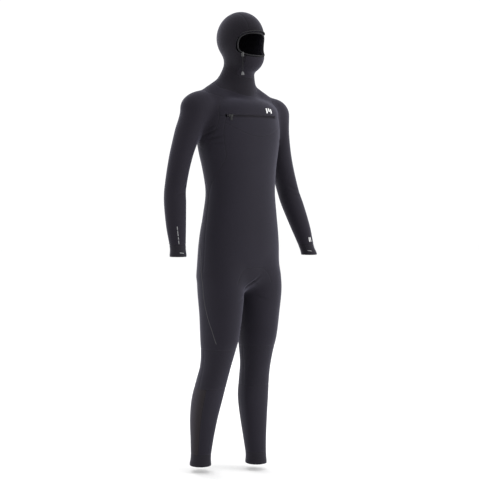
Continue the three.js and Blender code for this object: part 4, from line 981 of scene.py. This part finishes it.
# ---- sleeves -------------------------------------------------------------------------------------
# Each sleeve is a shoulder panel, an upper sleeve, an elbow panel, a forearm sleeve and a smooth-faced
# wrist seal.  The shoulder and elbow panels stretch as the arm moves.
sleeve_jersey = neoprene("sleeve_jersey", (0.0100, 0.0084, 0.0134), THREAD)
DARK_THREAD = (0.022, 0.021, 0.025)
seal_rubber = neoprene("seal_rubber", (0.0082, 0.0070, 0.0108), DARK_THREAD,
                       rough=0.68, pitch=0.9, relief=0.2)
SHOULDER_PIVOTS = {"right": np.array([-240.0, 29, -216]), "left": np.array([227.0, 32, -229])}
for name, side in SIDES.items():
    cuts = arm_cuts[name]
    arm = is_arm(middles, name) & (cuts["hem"](middles) > 0)
    up = np.array([side, 0, -1]) / math.sqrt(2)
    pivot = SHOULDER_PIVOTS[name]
    plane_distance = (side * pivot[0] - pivot[2] - SLEEVE_START) / math.sqrt(2)
    zone_start = pivot - up * plane_distance
    bones = (f"{name}_upper_arm", f"{name}_forearm")
    above_elbow = cuts["elbow_high"](middles) > 0
    below_elbow = cuts["elbow_low"](middles) < 0
    in_seal = cuts["seal"](middles) < 0
    sleeve = cuts["sleeve"](middles) > 0
    half_zone = elbow_normal[name] * ELBOW_ZONE / 2
    flush = [cuts["sleeve"], cuts["elbow_high"], cuts["elbow_low"]]
    middle = elbow_middle[name]
    sleeve_panels = {
        "shoulder_panel": (sleeve, ("torso", bones[0], zone_start, zone_start + up * SHOULDER_ZONE)),
        "upper_sleeve": (~sleeve & above_elbow, bones[0]),
        "elbow_panel": (~above_elbow & ~below_elbow, (*bones, middle + half_zone, middle - half_zone)),
        "forearm_sleeve": (below_elbow & ~in_seal, bones[1])}
    for panel_name, (mask, follows) in sleeve_panels.items():
        sew(f"{name}_{panel_name}", arm & mask, FOAM["limb"], sleeve_jersey, follows, flush)
    sew(f"{name}_wrist_seal", arm & in_seal, FOAM["seal"], seal_rubber, bones[1])


# ---- legs ----------------------------------------------------------------------------------------
# Each leg is a hip panel, a thigh panel, a knee pad with printed dots, a knee back panel, a shin panel,
# a calf panel of brown-black textured knit and a smooth-faced ankle seal.
def knee_dots(f):
    """Small printed dots in staggered rows, raised a little."""
    place = f.node("ShaderNodeTexCoord").outputs["Object"]
    cells = f.node("ShaderNodeTexVoronoi", Vector=place, Scale=260.0, Randomness=0.15)
    dots = sums(f.tree, "SUBTRACT", 1.0, ramp(f.tree, cells.outputs["Distance"], 0.3, 0.42))
    return dots, (0.0080, 0.0070, 0.0108), 2.5


def calf_ribs(f):
    """Fine slanting ribs of a textured knit."""
    place = f.node("ShaderNodeTexCoord").outputs["Object"]
    ribs = f.node("ShaderNodeTexWave", Vector=place, Scale=150.0, Distortion=1.5, Detail=1.0)
    ribs.bands_direction = "DIAGONAL"
    return ramp(f.tree, ribs.outputs["Fac"], 0.35, 0.75), (0.0165, 0.0128, 0.0132), 1.6


def hip_bend(name):
    """The hip stretches square to the groin seam, from the seam down."""
    return "torso", f"{name}_thigh", GROIN_POINT, GROIN_POINT - groin_normals[name] * HIP_ZONE


leg_jersey = neoprene("leg_jersey", BODY_DYE, THREAD)
knee_fabric = neoprene("knee_fabric", BODY_DYE, THREAD, pattern=knee_dots)
calf_fabric = neoprene("calf_fabric", (0.0118, 0.0096, 0.0118), THREAD, pattern=calf_ribs)
for name, side in SIDES.items():
    cuts = leg_cuts[name]
    on_side = (middles[0] * side > 0) & (groin_seams[name](middles) < 0) & (np.abs(middles[0]) < LEGS_REACH)
    leg = on_side & (middles[2] < LEGS_TOP) & (cuts["hem"](middles) > 0)
    in_hip = cuts["hip"](middles) > 0
    knee = (cuts["knee_high"](middles) < 0) & (cuts["knee_low"](middles) > 0)
    shank = (cuts["knee_low"](middles) < 0) & (cuts["seal"](middles) > 0)
    front_knee = knee_seam(name)(middles) < 0
    front_shank = calf_seam(name)(middles) < 0
    thigh = ~in_hip & (cuts["knee_high"](middles) > 0)
    bones = (f"{name}_thigh", f"{name}_shank")
    knee_axis = axis_at(LEGS[name], side, KNEE_HEIGHT)
    knee_half = np.array([0, 0, KNEE_ZONE / 2])
    knee_bend = (*bones, knee_axis + knee_half, knee_axis - knee_half)
    flush = [cuts["hip"], groin_seams[name]]
    in_seal = cuts["seal"](middles) < 0
    foam = FOAM["limb"]
    sew(f"{name}_hip_panel", leg & in_hip, foam, body_jersey, hip_bend(name), flush)
    sew(f"{name}_thigh_panel", leg & thigh, foam, leg_jersey, bones[0], flush)
    sew(f"{name}_knee_pad", leg & knee & front_knee, foam, knee_fabric, knee_bend)
    sew(f"{name}_knee_back_panel", leg & knee & ~front_knee, foam, leg_jersey, knee_bend)
    sew(f"{name}_shin_panel", leg & shank & front_shank, foam, leg_jersey, bones[1])
    sew(f"{name}_calf_panel", leg & shank & ~front_shank, foam, calf_fabric, bones[1])
    sew(f"{name}_ankle_seal", leg & in_seal, FOAM["seal"], seal_rubber, bones[1])


# ---- collar, hood and inner neck seal ------------------------------------------------------------
# The hood is glued to the suit's neck through a collar that stretches as the head nods.  A thin smooth
# seal stands inside the collar and grips the neck.
hood_jersey = neoprene("hood_jersey", (0.0062, 0.0050, 0.0078), DARK_THREAD)
chin_jersey = neoprene("hood_chin_jersey", (0.0108, 0.0092, 0.0138), THREAD)
neck_jersey = neoprene("neck_jersey", (0.0070, 0.0058, 0.0090), THREAD)
neck_bend = ("torso", "hood", NECK_POINT, NECK_POINT + NECK_NORMAL * NECK_ZONE)
collar_faces = (neck_seam(middles) > 0) & not_arm(middles) & (collar_seam(middles) < 0)
hood_faces = (collar_seam(middles) > 0) & (face_opening(middles) > 0)
is_chin = over_face(middles) & (np.abs(middles[0]) < CHIN_HALF_WIDTH)
is_crown = (np.abs(middles[0]) < CROWN_HALF_WIDTH) & ~is_chin & ~over_face(middles)
sew("neck_collar", collar_faces, FOAM["body"], neck_jersey, neck_bend)
sew("hood_crown_panel", hood_faces & is_crown, FOAM["body"], hood_jersey, "hood")
sew("hood_chin_panel", hood_faces & is_chin, FOAM["body"], chin_jersey, "hood")
for name, side in SIDES.items():
    sew(f"hood_{name}_panel", hood_faces & ~is_crown & ~is_chin & (middles[0] * side > 0), FOAM["body"],
        hood_jersey, "hood")

SEAL_INSET = 9.0
SEAL_FOAM = 2.0
SEAL_ROWS = np.linspace(10, 48, 12)
SEAL_SIDES = 64
neck_right = np.array([1.0, 0, 0])
neck_front = np.cross(NECK_NORMAL, neck_right)


def seal_field(p):
    return suit_field(p) + SEAL_INSET


seal_rings = []
for along in SEAL_ROWS:
    middle = np.array([0, 6, 24.0]) + NECK_NORMAL * along
    for a in np.linspace(0, 2 * math.pi, SEAL_SIDES, endpoint=False):
        outward = math.cos(a) * neck_right + math.sin(a) * neck_front
        seal_rings.append(onto_skin([middle], outward, 110, seal_field)[0])
seal_outside = np.array(seal_rings)
seal_inside = (seal_outside - normals_at(seal_outside) * SEAL_FOAM).reshape(len(SEAL_ROWS), SEAL_SIDES, 3)
seal_points = np.concatenate([seal_outside, seal_inside[::-1].reshape(-1, 3)])


def tube_faces(rows, columns, closed_rows=False, flip=False):
    """Quads between rings of points."""
    faces = []
    for r in range(rows if closed_rows else rows - 1):
        for c in range(columns):
            d = (c + 1) % columns
            n = (r + 1) % rows
            quad = [r * columns + c, r * columns + d, n * columns + d, n * columns + c]
            faces.append(quad[::-1] if flip else quad)
    return faces


def capped_tube(rows, columns, flip=False):
    """Quads between rings of points, and a face over each end."""
    first = list(range(columns))
    last = [(rows - 1) * columns + k for k in range(columns)]
    caps = [first, last[::-1]] if flip else [first[::-1], last]
    return tube_faces(rows, columns, flip=flip) + caps


inner_seal = mesh_object("inner_neck_seal", seal_points, tube_faces(2 * len(SEAL_ROWS), SEAL_SIDES, True),
                         neck_jersey, {"edge_distance": np.full(len(seal_points), NO_EDGE)})
stand_for(inner_seal, "inner_neck_seal", neck_bend)


# ---- face binding and peak -----------------------------------------------------------------------
# The cut edge of the face opening is bound with a glued elastic tape, rolled over the foam.  A small
# stiffened peak stands out over the brow.
BINDING_WIDTH = 5.0
BINDING_COUNT = 120


def face_edge(angles, inset):
    c, s = np.cos(angles), np.sin(angles)
    scale = 1 / (np.abs(c) ** 3 + np.abs(s) ** 3) ** (1 / 3)
    x = (FACE_HALF_WIDTH - inset) * scale * c
    z = FACE_HEIGHT + (FACE_HALF_HEIGHT - inset) * scale * s
    return onto_skin(np.stack([x, np.full_like(x, -14), z], axis=1), (0, -1, 0), 130)


def trim_finish(name, colour, rough, specular, ribs=0.0, rib_pitch=1.6, coat=0.0):
    """Moulded or woven trim: a tinted grain, light scuffs and fine cross ribs."""
    f = Finish(name, rough, specular, coat=coat)
    place = place_on(f.tree)
    scuff = f.node("ShaderNodeTexNoise", Vector=place, Scale=160.0, Detail=6.0, Roughness=0.7).outputs["Fac"]
    worn = sums(f.tree, "MULTIPLY", ramp(f.tree, scuff, 0.58, 0.72), 0.25)
    rubbed = [min(1, c * 1.8) for c in colour]
    shade = blend_colour(f.tree, worn, dyed(f, colour, Fleck_Scale=420.0), rubbed)
    f.link(shade, f.shader.inputs["Base Color"])
    uneven = sums(f.tree, "ADD", rough - 0.06, sums(f.tree, "MULTIPLY", scuff, 0.12))
    f.link(uneven, f.shader.inputs["Roughness"])
    wave = slanting_wave(f.tree, 2 * math.pi / (rib_pitch * MM))
    height = sums(f.tree, "ADD", sums(f.tree, "MULTIPLY", wave, ribs), scuff)
    bump = f.node("ShaderNodeBump", Strength=0.3, Distance=0.3 * MM, Height=height)
    f.link(bump.outputs["Normal"], f.shader.inputs["Normal"])
    return f


binding_tape = trim_finish("binding_tape", (0.0125, 0.0118, 0.014), 0.6, 0.2, ribs=0.6)
binding_turns = np.linspace(0, 2 * math.pi, BINDING_COUNT, endpoint=False)
binding_middle = face_edge(binding_turns, BINDING_WIDTH / 2 + 1.6)
binding_normal = normals_at(binding_middle)
binding_run = np.roll(binding_middle, -1, axis=0) - np.roll(binding_middle, 1, axis=0)
binding_run /= np.linalg.norm(binding_run, axis=1)[:, None]
binding_across = np.cross(binding_run, binding_normal)
ROLL = [(math.cos(a) * BINDING_WIDTH / 2, math.sin(a) * 3.2 - 2)
        for a in np.linspace(0, 2 * math.pi, 14, endpoint=False)]
roll_points = np.stack([binding_middle + binding_across * u + binding_normal * w for u, w in ROLL], axis=1)
roll_faces = tube_faces(BINDING_COUNT, len(ROLL), True, True)
face_binding = mesh_object("face_binding", roll_points.reshape(-1, 3), roll_faces, binding_tape)
stand_for(face_binding, "face_binding", "hood")

PEAK_HALF_WIDTH = 52.0
PEAK_LENGTH = 13.0
PEAK_THICKNESS = 3.4
PEAK_COUNT = 41
peak_share = np.linspace(-1, 1, PEAK_COUNT)
peak_height = FACE_HEIGHT + FACE_HALF_HEIGHT + 3
peak_root = onto_skin(np.stack([peak_share * PEAK_HALF_WIDTH, np.full(PEAK_COUNT, -14.0),
                                peak_height - 10 * peak_share ** 2], axis=1), (0, -1, 0), 130)
peak_normal = normals_at(peak_root)
peak_out = np.stack([peak_normal[:, 0] * 0.5, np.full(PEAK_COUNT, -1.0), np.full(PEAK_COUNT, -0.12)], axis=1)
peak_out /= np.linalg.norm(peak_out, axis=1)[:, None]
peak_up = np.array([0, -0.12, 1.0]) / math.hypot(0.12, 1)
peak_reach = 3 + (PEAK_LENGTH - 3) * (1 - peak_share ** 2)
PEAK_OUTLINE = [(0, 0), (0.5, -0.02), (0.9, 0.04), (1.0, 0.2),
                (1.02, 0.4), (0.96, 0.62), (0.6, 0.86), (0, 1.0)]
peak_base = peak_root + peak_normal * 0.6
peak_points = np.stack([peak_base + peak_out * (peak_reach * u)[:, None] + peak_up * (PEAK_THICKNESS * w)
                        for u, w in PEAK_OUTLINE], axis=1)
peak_faces = capped_tube(PEAK_COUNT, len(PEAK_OUTLINE))
hood_peak = mesh_object("hood_peak", peak_points.reshape(-1, 3), peak_faces, binding_tape)
stand_for(hood_peak, "hood_peak", "hood")


# ---- cord lock, hood cord and end tab ------------------------------------------------------------
# The hood's elastic cord comes out of a sprung plastic lock at the right corner of the face opening and
# hangs to a light moulded grip tab.
def box_of(node):
    """The two corners of a solid's box, in millimetres."""
    return [np.array(corner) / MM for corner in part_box(node)]


lock_low, lock_high = box_of("cord_lock_barrel")
button_low, button_high = box_of("cord_lock_button")
lock_middle = (lock_low + lock_high) / 2
lock_plastic = trim_finish("lock_plastic", (0.016, 0.016, 0.017), 0.28, 0.5, coat=0.3)
pale_plastic = trim_finish("tab_plastic", (0.1, 0.1, 0.105), 0.5, 0.4, ribs=0.4)


def turned_piece(name, profile, middle, finish, steps=40):
    """A turned solid from (radius, height) pairs, height up from the middle."""
    angles = np.linspace(0, 2 * math.pi, steps, endpoint=False)
    points = [middle + np.array([r * math.cos(a), r * math.sin(a), z]) for r, z in profile for a in angles]
    return mesh_object(name, points, capped_tube(len(profile), steps), finish)


half_height = (lock_high[2] - lock_low[2]) / 2
radius = (lock_high[0] - lock_low[0]) / 2
BORE = 3.7
foot_edge = [(radius - 1.2, -half_height), (radius - 0.5, -half_height + 0.4), (radius, -half_height + 1.6)]
grip_grooves = [(radius, -2.2), (radius - 0.5, -1.8), (radius - 0.5, -1.2), (radius, -0.8),
                (radius, 0.8), (radius - 0.5, 1.2), (radius - 0.5, 1.8), (radius, 2.2)]
top_edge = [(radius, half_height - 1), (radius - 0.4, half_height - 0.3), (radius - 0.9, half_height)]
bore_wall = [(BORE + 0.2, half_height), (BORE, half_height - 0.3),
             (BORE, half_height - 5), (0.4, half_height - 5)]
barrel_profile = foot_edge + grip_grooves + top_edge + bore_wall
barrel = turned_piece("cord_lock_barrel", barrel_profile, lock_middle, lock_plastic)
stand_for(barrel, "cord_lock_barrel", "hood")
button_radius = (button_high[0] - button_low[0]) / 2
button_top = button_high[2] - lock_middle[2]
button_foot = button_low[2] - lock_middle[2]
button = turned_piece("cord_lock_button", [
    (0.3, button_foot), (button_radius, button_foot), (button_radius, button_top - 1.2),
    (button_radius - 0.3, button_top - 0.5), (button_radius - 0.9, button_top - 0.1),
    (button_radius - 1.4, button_top), (0.3, button_top - 0.5)], lock_middle, lock_plastic)
stand_for(button, "cord_lock_button", "cord_lock_press")

CORD_DIAMETER = 2.6
cord_low, cord_high = box_of("hood_cord_tail")
cord_x, cord_y = (cord_low[0] + cord_high[0]) / 2, (cord_low[1] + cord_high[1]) / 2
cord_length = cord_high[2] - cord_low[2]
CORD_POINTS = 24
cord_braid = trim_finish("cord_braid", (0.012, 0.012, 0.0135), 0.8, 0.2, ribs=1.0, rib_pitch=1.1)
cord_curve = bpy.data.curves.new("hood_cord_tail", "CURVE")
cord_curve.dimensions = "3D"
cord_curve.bevel_depth = CORD_DIAMETER / 2 * MM
cord_curve.bevel_resolution = 5
cord_curve.use_fill_caps = True
cord_spline = cord_curve.splines.new("POLY")
cord_spline.points.add(CORD_POINTS - 1)
for i in range(CORD_POINTS):
    z = cord_high[2] - cord_length * i / (CORD_POINTS - 1)
    cord_spline.points[i].co = (cord_x * MM, cord_y * MM, z * MM, 1.0)
cord_curve.materials.append(cord_braid.material)
hood_cord = bpy.data.objects.new("hood_cord_tail", cord_curve)
bpy.context.scene.collection.objects.link(hood_cord)
stand_for(hood_cord, "hood_cord_tail", "hood")

tab_top = box_of("cord_end_tab")[1][2]
TAB_LENGTH, TAB_WIDTH, TAB_THICKNESS = 13.0, 12.0, 3.0
tab_spread = np.array([0.788, -0.616, 0])
tab_deep = np.array([0.616, 0.788, 0])
TAB_OUTLINE = [(0, 0.30), (0.06, 0.42), (0.35, 0.75), (0.8, 0.96), (0.92, 0.97), (1, 0.8)]
tab_middle = np.array([cord_x, cord_y, tab_top])
TAB_EDGE = [(-1, -0.55), (-0.86, -1), (0.86, -1), (1, -0.55), (1, 0.55), (0.86, 1), (-0.86, 1), (-1, 0.55)]
tab_points = np.array([
    tab_middle + tab_spread * (u * wide * TAB_WIDTH / 2) + tab_deep * (w * TAB_THICKNESS / 2)
    - (0, 0, t * TAB_LENGTH)
    for t, wide in TAB_OUTLINE for u, w in TAB_EDGE])
tab_faces = capped_tube(len(TAB_OUTLINE), len(TAB_EDGE), flip=True)
cord_tab = mesh_object("cord_end_tab", tab_points, tab_faces, pale_plastic)
stand_for(cord_tab, "cord_end_tab", "hood")


# ---- chest zip -----------------------------------------------------------------------------------
# A moulded-tooth zip lies across the chest on one level arc: two coated tapes glued into the slot, two
# rows of teeth, end box and top stop, a slider with a rubber pull, and a thin storm flap behind.
ZIP_RADIUS = 288.089
ZIP_CENTRE = (2.277, 181.441)
ZIP_MIDDLE_ANGLE = -1.60648
CHAIN_DEPTH = -1.6
TAPE_THICKNESS = 1.6
TEETH_WIDTH, TEETH_THICKNESS = 2.75, 3.4
ZIP_GAP = 0.3
CHAIN_END = 106.7
TOOTH_PITCH = 2.2


def on_zip(distance, depth, up):
    angle = ZIP_MIDDLE_ANGLE + np.asarray(distance) / ZIP_RADIUS
    x = ZIP_CENTRE[0] + (ZIP_RADIUS + depth) * np.cos(angle)
    y = ZIP_CENTRE[1] + (ZIP_RADIUS + depth) * np.sin(angle)
    return np.stack([x, y, np.full_like(x, -ZIP_DROP + up)], axis=-1)


def zip_bar(profile, start, end, steps):
    """A bar of one section bent along the zip's arc, and its faces."""
    distances = np.linspace(start, end, steps + 1)
    points = np.stack([on_zip(distances, depth, up) for depth, up in profile], axis=1).reshape(-1, 3)
    return points, capped_tube(steps + 1, len(profile))


def from_chain(outline, up=1):
    """A section set at the teeth's depth, and turned over for the lower half of the zip."""
    return [(CHAIN_DEPTH + depth, up * height) for depth, height in outline][::up]


def gathered(parts):
    """The points and faces of several parts, as one mesh."""
    points, faces = [], []
    for part_points, part_faces in parts:
        shift = len(points)
        points.extend(part_points)
        faces += [[i + shift for i in face] for face in part_faces]
    return np.array(points), faces


def zip_piece(name, parts, finish, body="torso"):
    """One piece of several bars."""
    piece = mesh_object(name, *gathered(parts), finish)
    piece.data.set_sharp_from_angle(angle=math.radians(35))
    return stand_for(piece, name, body)


zip_cloth = trim_finish("zip_cloth", (0.0210, 0.0185, 0.0260), 0.8, 0.12, ribs=0.8, rib_pitch=0.9)
zip_plastic = trim_finish("zip_teeth_plastic", (0.0150, 0.0135, 0.0180), 0.6, 0.15)
slider_plastic = trim_finish("zip_slider_plastic", (0.008, 0.008, 0.009), 0.25, 0.5, coat=0.3)
pull_rubber = trim_finish("pull_rubber", (0.007, 0.007, 0.008), 0.5, 0.35, ribs=0.7, rib_pitch=2.0)
half_tape = TAPE_THICKNESS / 2
tape_low, tape_high = TEETH_WIDTH + ZIP_GAP, ZIP_SLOT_HEIGHT / 2 - ZIP_GAP
TAPE = [(-half_tape, tape_low), (half_tape * 0.7, tape_low), (half_tape, tape_low + 0.4),
        (half_tape, tape_high), (-half_tape, tape_high)]
deep = TEETH_THICKNESS / 2
TOOTH = [(-deep, 0.2), (deep * 0.7, 0.2), (deep, 0.7), (deep * 0.9, 2.2), (deep * 0.6, 2.7), (-deep, 2.7)]
EDGE_CORD = [(-0.9, 0.9), (0.9, 0.9), (0.9, 2.6), (-0.9, 2.6)]
for name, up in (("upper", 1), ("lower", -1)):
    tape = zip_bar(from_chain(TAPE, up), -ZIP_LENGTH / 2, ZIP_LENGTH / 2, 60)
    zip_piece(f"zip_{name}_tape", [tape], zip_cloth)
    teeth = []
    for k in range(int(2 * CHAIN_END / TOOTH_PITCH)):
        start = -CHAIN_END + TOOTH_PITCH * k + (TOOTH_PITCH / 2 if up < 0 else 0)
        end = min(start + TOOTH_PITCH * 0.62, CHAIN_END)
        teeth.append(zip_bar(from_chain(TOOTH, up), start, end, 1))
    teeth.append(zip_bar(from_chain(EDGE_CORD, up), -CHAIN_END, CHAIN_END, 60))
    zip_piece(f"zip_{name}_teeth", teeth, zip_plastic)

STOP = from_chain([(-1.7, -2.6), (1.9, -2.6), (2.3, -2.1), (2.3, 2.1), (1.9, 2.6), (-1.7, 2.6)])
RIDGE = from_chain([(2.0, -1.6), (2.3, -1.6), (2.3, 1.6), (2.0, 1.6)])
STOP_LENGTH = 7
for name, start in (("zip_end_box", ZIP_LENGTH / 2 - STOP_LENGTH), ("zip_top_stop", -ZIP_LENGTH / 2)):
    ridges = [zip_bar(RIDGE, start + k, start + k + 0.8, 1) for k in (1.2, 3.0, 4.8)]
    block = zip_bar(STOP, start, start + STOP_LENGTH, 4)
    zip_piece(name, [block, *ridges], zip_plastic)

SLIDER_START = -CHAIN_END + 0.5
SLIDER_LENGTH = 15.0
SLIDER_RINGS = 13
WAIST = 0.14
SLIDER = [(-0.3, -4.75), (1.2, -4.75), (1.9, -4.2), (2.1, -3.2), (2.1, 3.2), (1.9, 4.2), (1.2, 4.75),
          (-0.3, 4.75), (-0.3, 3.25), (0.6, 3.25), (0.6, -3.25), (-0.3, -3.25)]
slider_points = []
for share in np.linspace(0, 1, SLIDER_RINGS):
    narrow = 1 - WAIST * math.sin(share * math.pi) ** 2
    for depth, up in SLIDER:
        distance = np.array(SLIDER_START + share * SLIDER_LENGTH)
        slider_points.append(on_zip(distance, depth, up * (narrow if abs(up) > 4 else 1)))
slider_faces = tube_faces(SLIDER_RINGS, len(SLIDER))
for ring, turn in ((0, 1), (SLIDER_RINGS - 1, -1)):
    base = ring * len(SLIDER)
    for cap in ((0, 1, 2, 3, 10, 11), (3, 4, 9, 10), (4, 5, 6, 7, 8, 9)):
        slider_faces.append([base + k for k in cap][::-turn])
BRIDGE = [(1.9, -1.5), (2.9, -1.3), (3.2, 0), (2.9, 1.3), (1.9, 1.5)]
bridge = zip_bar(BRIDGE, SLIDER_START + 2.0, SLIDER_START + 5.0, 3)
zip_piece("zip_slider", [(slider_points, slider_faces), bridge], slider_plastic,
          "zip_slider_body")

PULL_MIDDLE = SLIDER_START + SLIDER_LENGTH / 2
PULL_DEPTH = 3.75
PULL_LEAN = 0.1
PULL_HALF_WIDTH, PULL_THICKNESS = 4, 1.9
PULL_ROWS = [(3, 0.45), (2.6, 0.6), (1, 0.86), (-4, 0.92),
             (-10, 1.0), (-14, 0.98), (-16.5, 0.86), (-17.8, 0.6)]
PULL_EDGE = [(-1, 0.35), (-0.8, 0), (0.8, 0), (1, 0.35), (1, 0.7), (0.8, 1), (-0.8, 1), (-1, 0.7)]
pull_points = [on_zip(np.array(PULL_MIDDLE + u * wide * PULL_HALF_WIDTH),
                      PULL_DEPTH - PULL_LEAN * up + w * PULL_THICKNESS, up)
               for up, wide in PULL_ROWS for u, w in PULL_EDGE]
pull_faces = capped_tube(len(PULL_ROWS), len(PULL_EDGE), flip=True)
zip_piece("zip_pull_tab", [(pull_points, pull_faces)], pull_rubber, "zip_pull")

flap_jersey = neoprene("flap_jersey", (0.0115, 0.0098, 0.0138), THREAD)
FLAP_DEPTH = -9.5
FLAP_REACH = ZIP_LENGTH / 2 - 8
FLAP = [(FLAP_DEPTH - 2, -18), (FLAP_DEPTH - 1, -18), (FLAP_DEPTH, -17.4),
        (FLAP_DEPTH, 17.4), (FLAP_DEPTH - 1, 18), (FLAP_DEPTH - 2, 18)]
flap = zip_bar(FLAP, -FLAP_REACH, FLAP_REACH, 40)
storm_flap = zip_piece("zip_storm_flap", [flap], flap_jersey)
flap_edge = storm_flap.data.attributes.new("edge_distance", "FLOAT", "POINT")
flap_edge.data.foreach_set("value", np.full(len(storm_flap.data.vertices), NO_EDGE, np.float32))


# ---- piping and prints ---------------------------------------------------------------------------
# A thin pale reflective line is bonded down the outside of each hip and thigh.  Plain pale marks are
# printed on the left chest, along the right forearm, on the left forearm and at both cuffs.
piping_print = trim_finish("piping_print", (0.05, 0.05, 0.054), 0.5, 0.35)
PIPING = [(-0.35, 55), (-0.245, 32), (-0.14, 18), (-0.06, 5),    # share of the leg, and depth
          (0.03, -3), (0.12, -18), (0.2, -36), (0.27, -47)]
PIPING_COUNT = 90
PIPING_WIDTH = 2.0
PIPING_HEIGHT = 0.7
piping_share = np.linspace(0, len(PIPING) - 1, PIPING_COUNT)


def through(values, at):
    """Catmull-Rom curve through evenly numbered values."""
    values = np.array(values, float)
    padded = np.concatenate([[2 * values[0] - values[1]], values, [2 * values[-1] - values[-2]]])
    i = np.clip(at.astype(int), 0, len(values) - 2)
    t = at - i
    p0, p1, p2, p3 = (padded[i + k] for k in range(4))
    bend = (2 * p0 - 5 * p1 + 4 * p2 - p3) * t ** 2
    return 0.5 * (2 * p1 + (p2 - p0) * t + bend + (3 * p1 - p0 - 3 * p2 + p3) * t ** 3)


piping_z = CROTCH - LEG_LENGTH * through([share for share, _ in PIPING], piping_share)
piping_y = through([y for _, y in PIPING], piping_share)


def strip(middle, width, thickness, sink=0.4, rounded=True):
    """A raised line bonded along points on the skin."""
    normal = normals_at(middle)
    run = np.gradient(middle, axis=0)
    across = np.cross(run, normal)
    across /= np.linalg.norm(across, axis=1)[:, None]
    crown = [(-0.9, 0.5), (-0.45, 1), (0.45, 1), (0.9, 0.5)] if rounded else [(-1, 1), (1, 1)]
    outline = [(-1, -sink), *((u, thickness * share) for u, share in crown), (1, -sink)]
    base = folds(middle, normal)
    points = np.stack([base + across * (u * width / 2) + normal * w for u, w in outline], axis=1)
    return points.reshape(-1, 3), capped_tube(len(middle), len(outline), flip=True)


for name, side in SIDES.items():
    inside = np.stack([np.full(PIPING_COUNT, side * 70.0), piping_y, piping_z], axis=1)
    points, faces = strip(onto_skin(inside, (side, 0, 0), 160), PIPING_WIDTH, PIPING_HEIGHT)
    piping = mesh_object(f"{name}_side_piping", points, faces, piping_print)
    stand_for(piping, f"{name}_side_piping", hip_bend(name))

white_print = trim_finish("white_print", (0.78, 0.78, 0.78), 0.45, 0.3)
faint_print = trim_finish("faint_print", (0.3, 0.3, 0.31), 0.45, 0.3)
PRINT_HEIGHT = 0.28


def print_mark(name, paths, width, finish, body):
    """A printed mark made of flat lines that lie on the skin."""
    bars = []
    for path in paths:
        start, end = np.array(path, float)
        steps = max(2, int(np.linalg.norm(end - start) / 2.5))
        middle = settle(start + (end - start) * np.linspace(0, 1, steps + 1)[:, None], rounds=6)
        bars.append(strip(middle, width, PRINT_HEIGHT, sink=0.1, rounded=False))
    mark = mesh_object(name, *gathered(bars), finish)
    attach(mark, body)


# The chest mark is three upright bars of different lengths.
CHEST_BARS = ((54, -68, -88), (67, -66, -82), (80, -68, -88))    # across, top and foot
chest_bars = [[(x, -100, top), (x + 1.5, -100, foot)] for x, top, foot in CHEST_BARS]
print_mark("chest_print", chest_bars, 7.5, white_print, "torso")
arm_start, arm_end = np.array([-310.0, -31, -509]), np.array([-315.0, -50, -572])
dashes = [[arm_start + (arm_end - arm_start) * a, arm_start + (arm_end - arm_start) * b]
          for a, b in ((0, 0.22), (0.27, 0.55), (0.6, 0.74), (0.79, 1.0))]
print_mark("right_forearm_print", dashes, 2.0, faint_print, "right_forearm")
forearm_bars = [[(x, -46, -566), (x + 2, -46, -584)] for x in (318, 325)]
print_mark("left_forearm_print", forearm_bars, 3.2, white_print, "left_forearm")
print_mark("right_cuff_print", [[(-316, -55, -605), (-302, -58, -607)]], 2.2, faint_print, "right_forearm")
print_mark("left_cuff_print", [[(307, -48, -618), (321, -58, -620)]], 2.2, faint_print, "left_forearm")
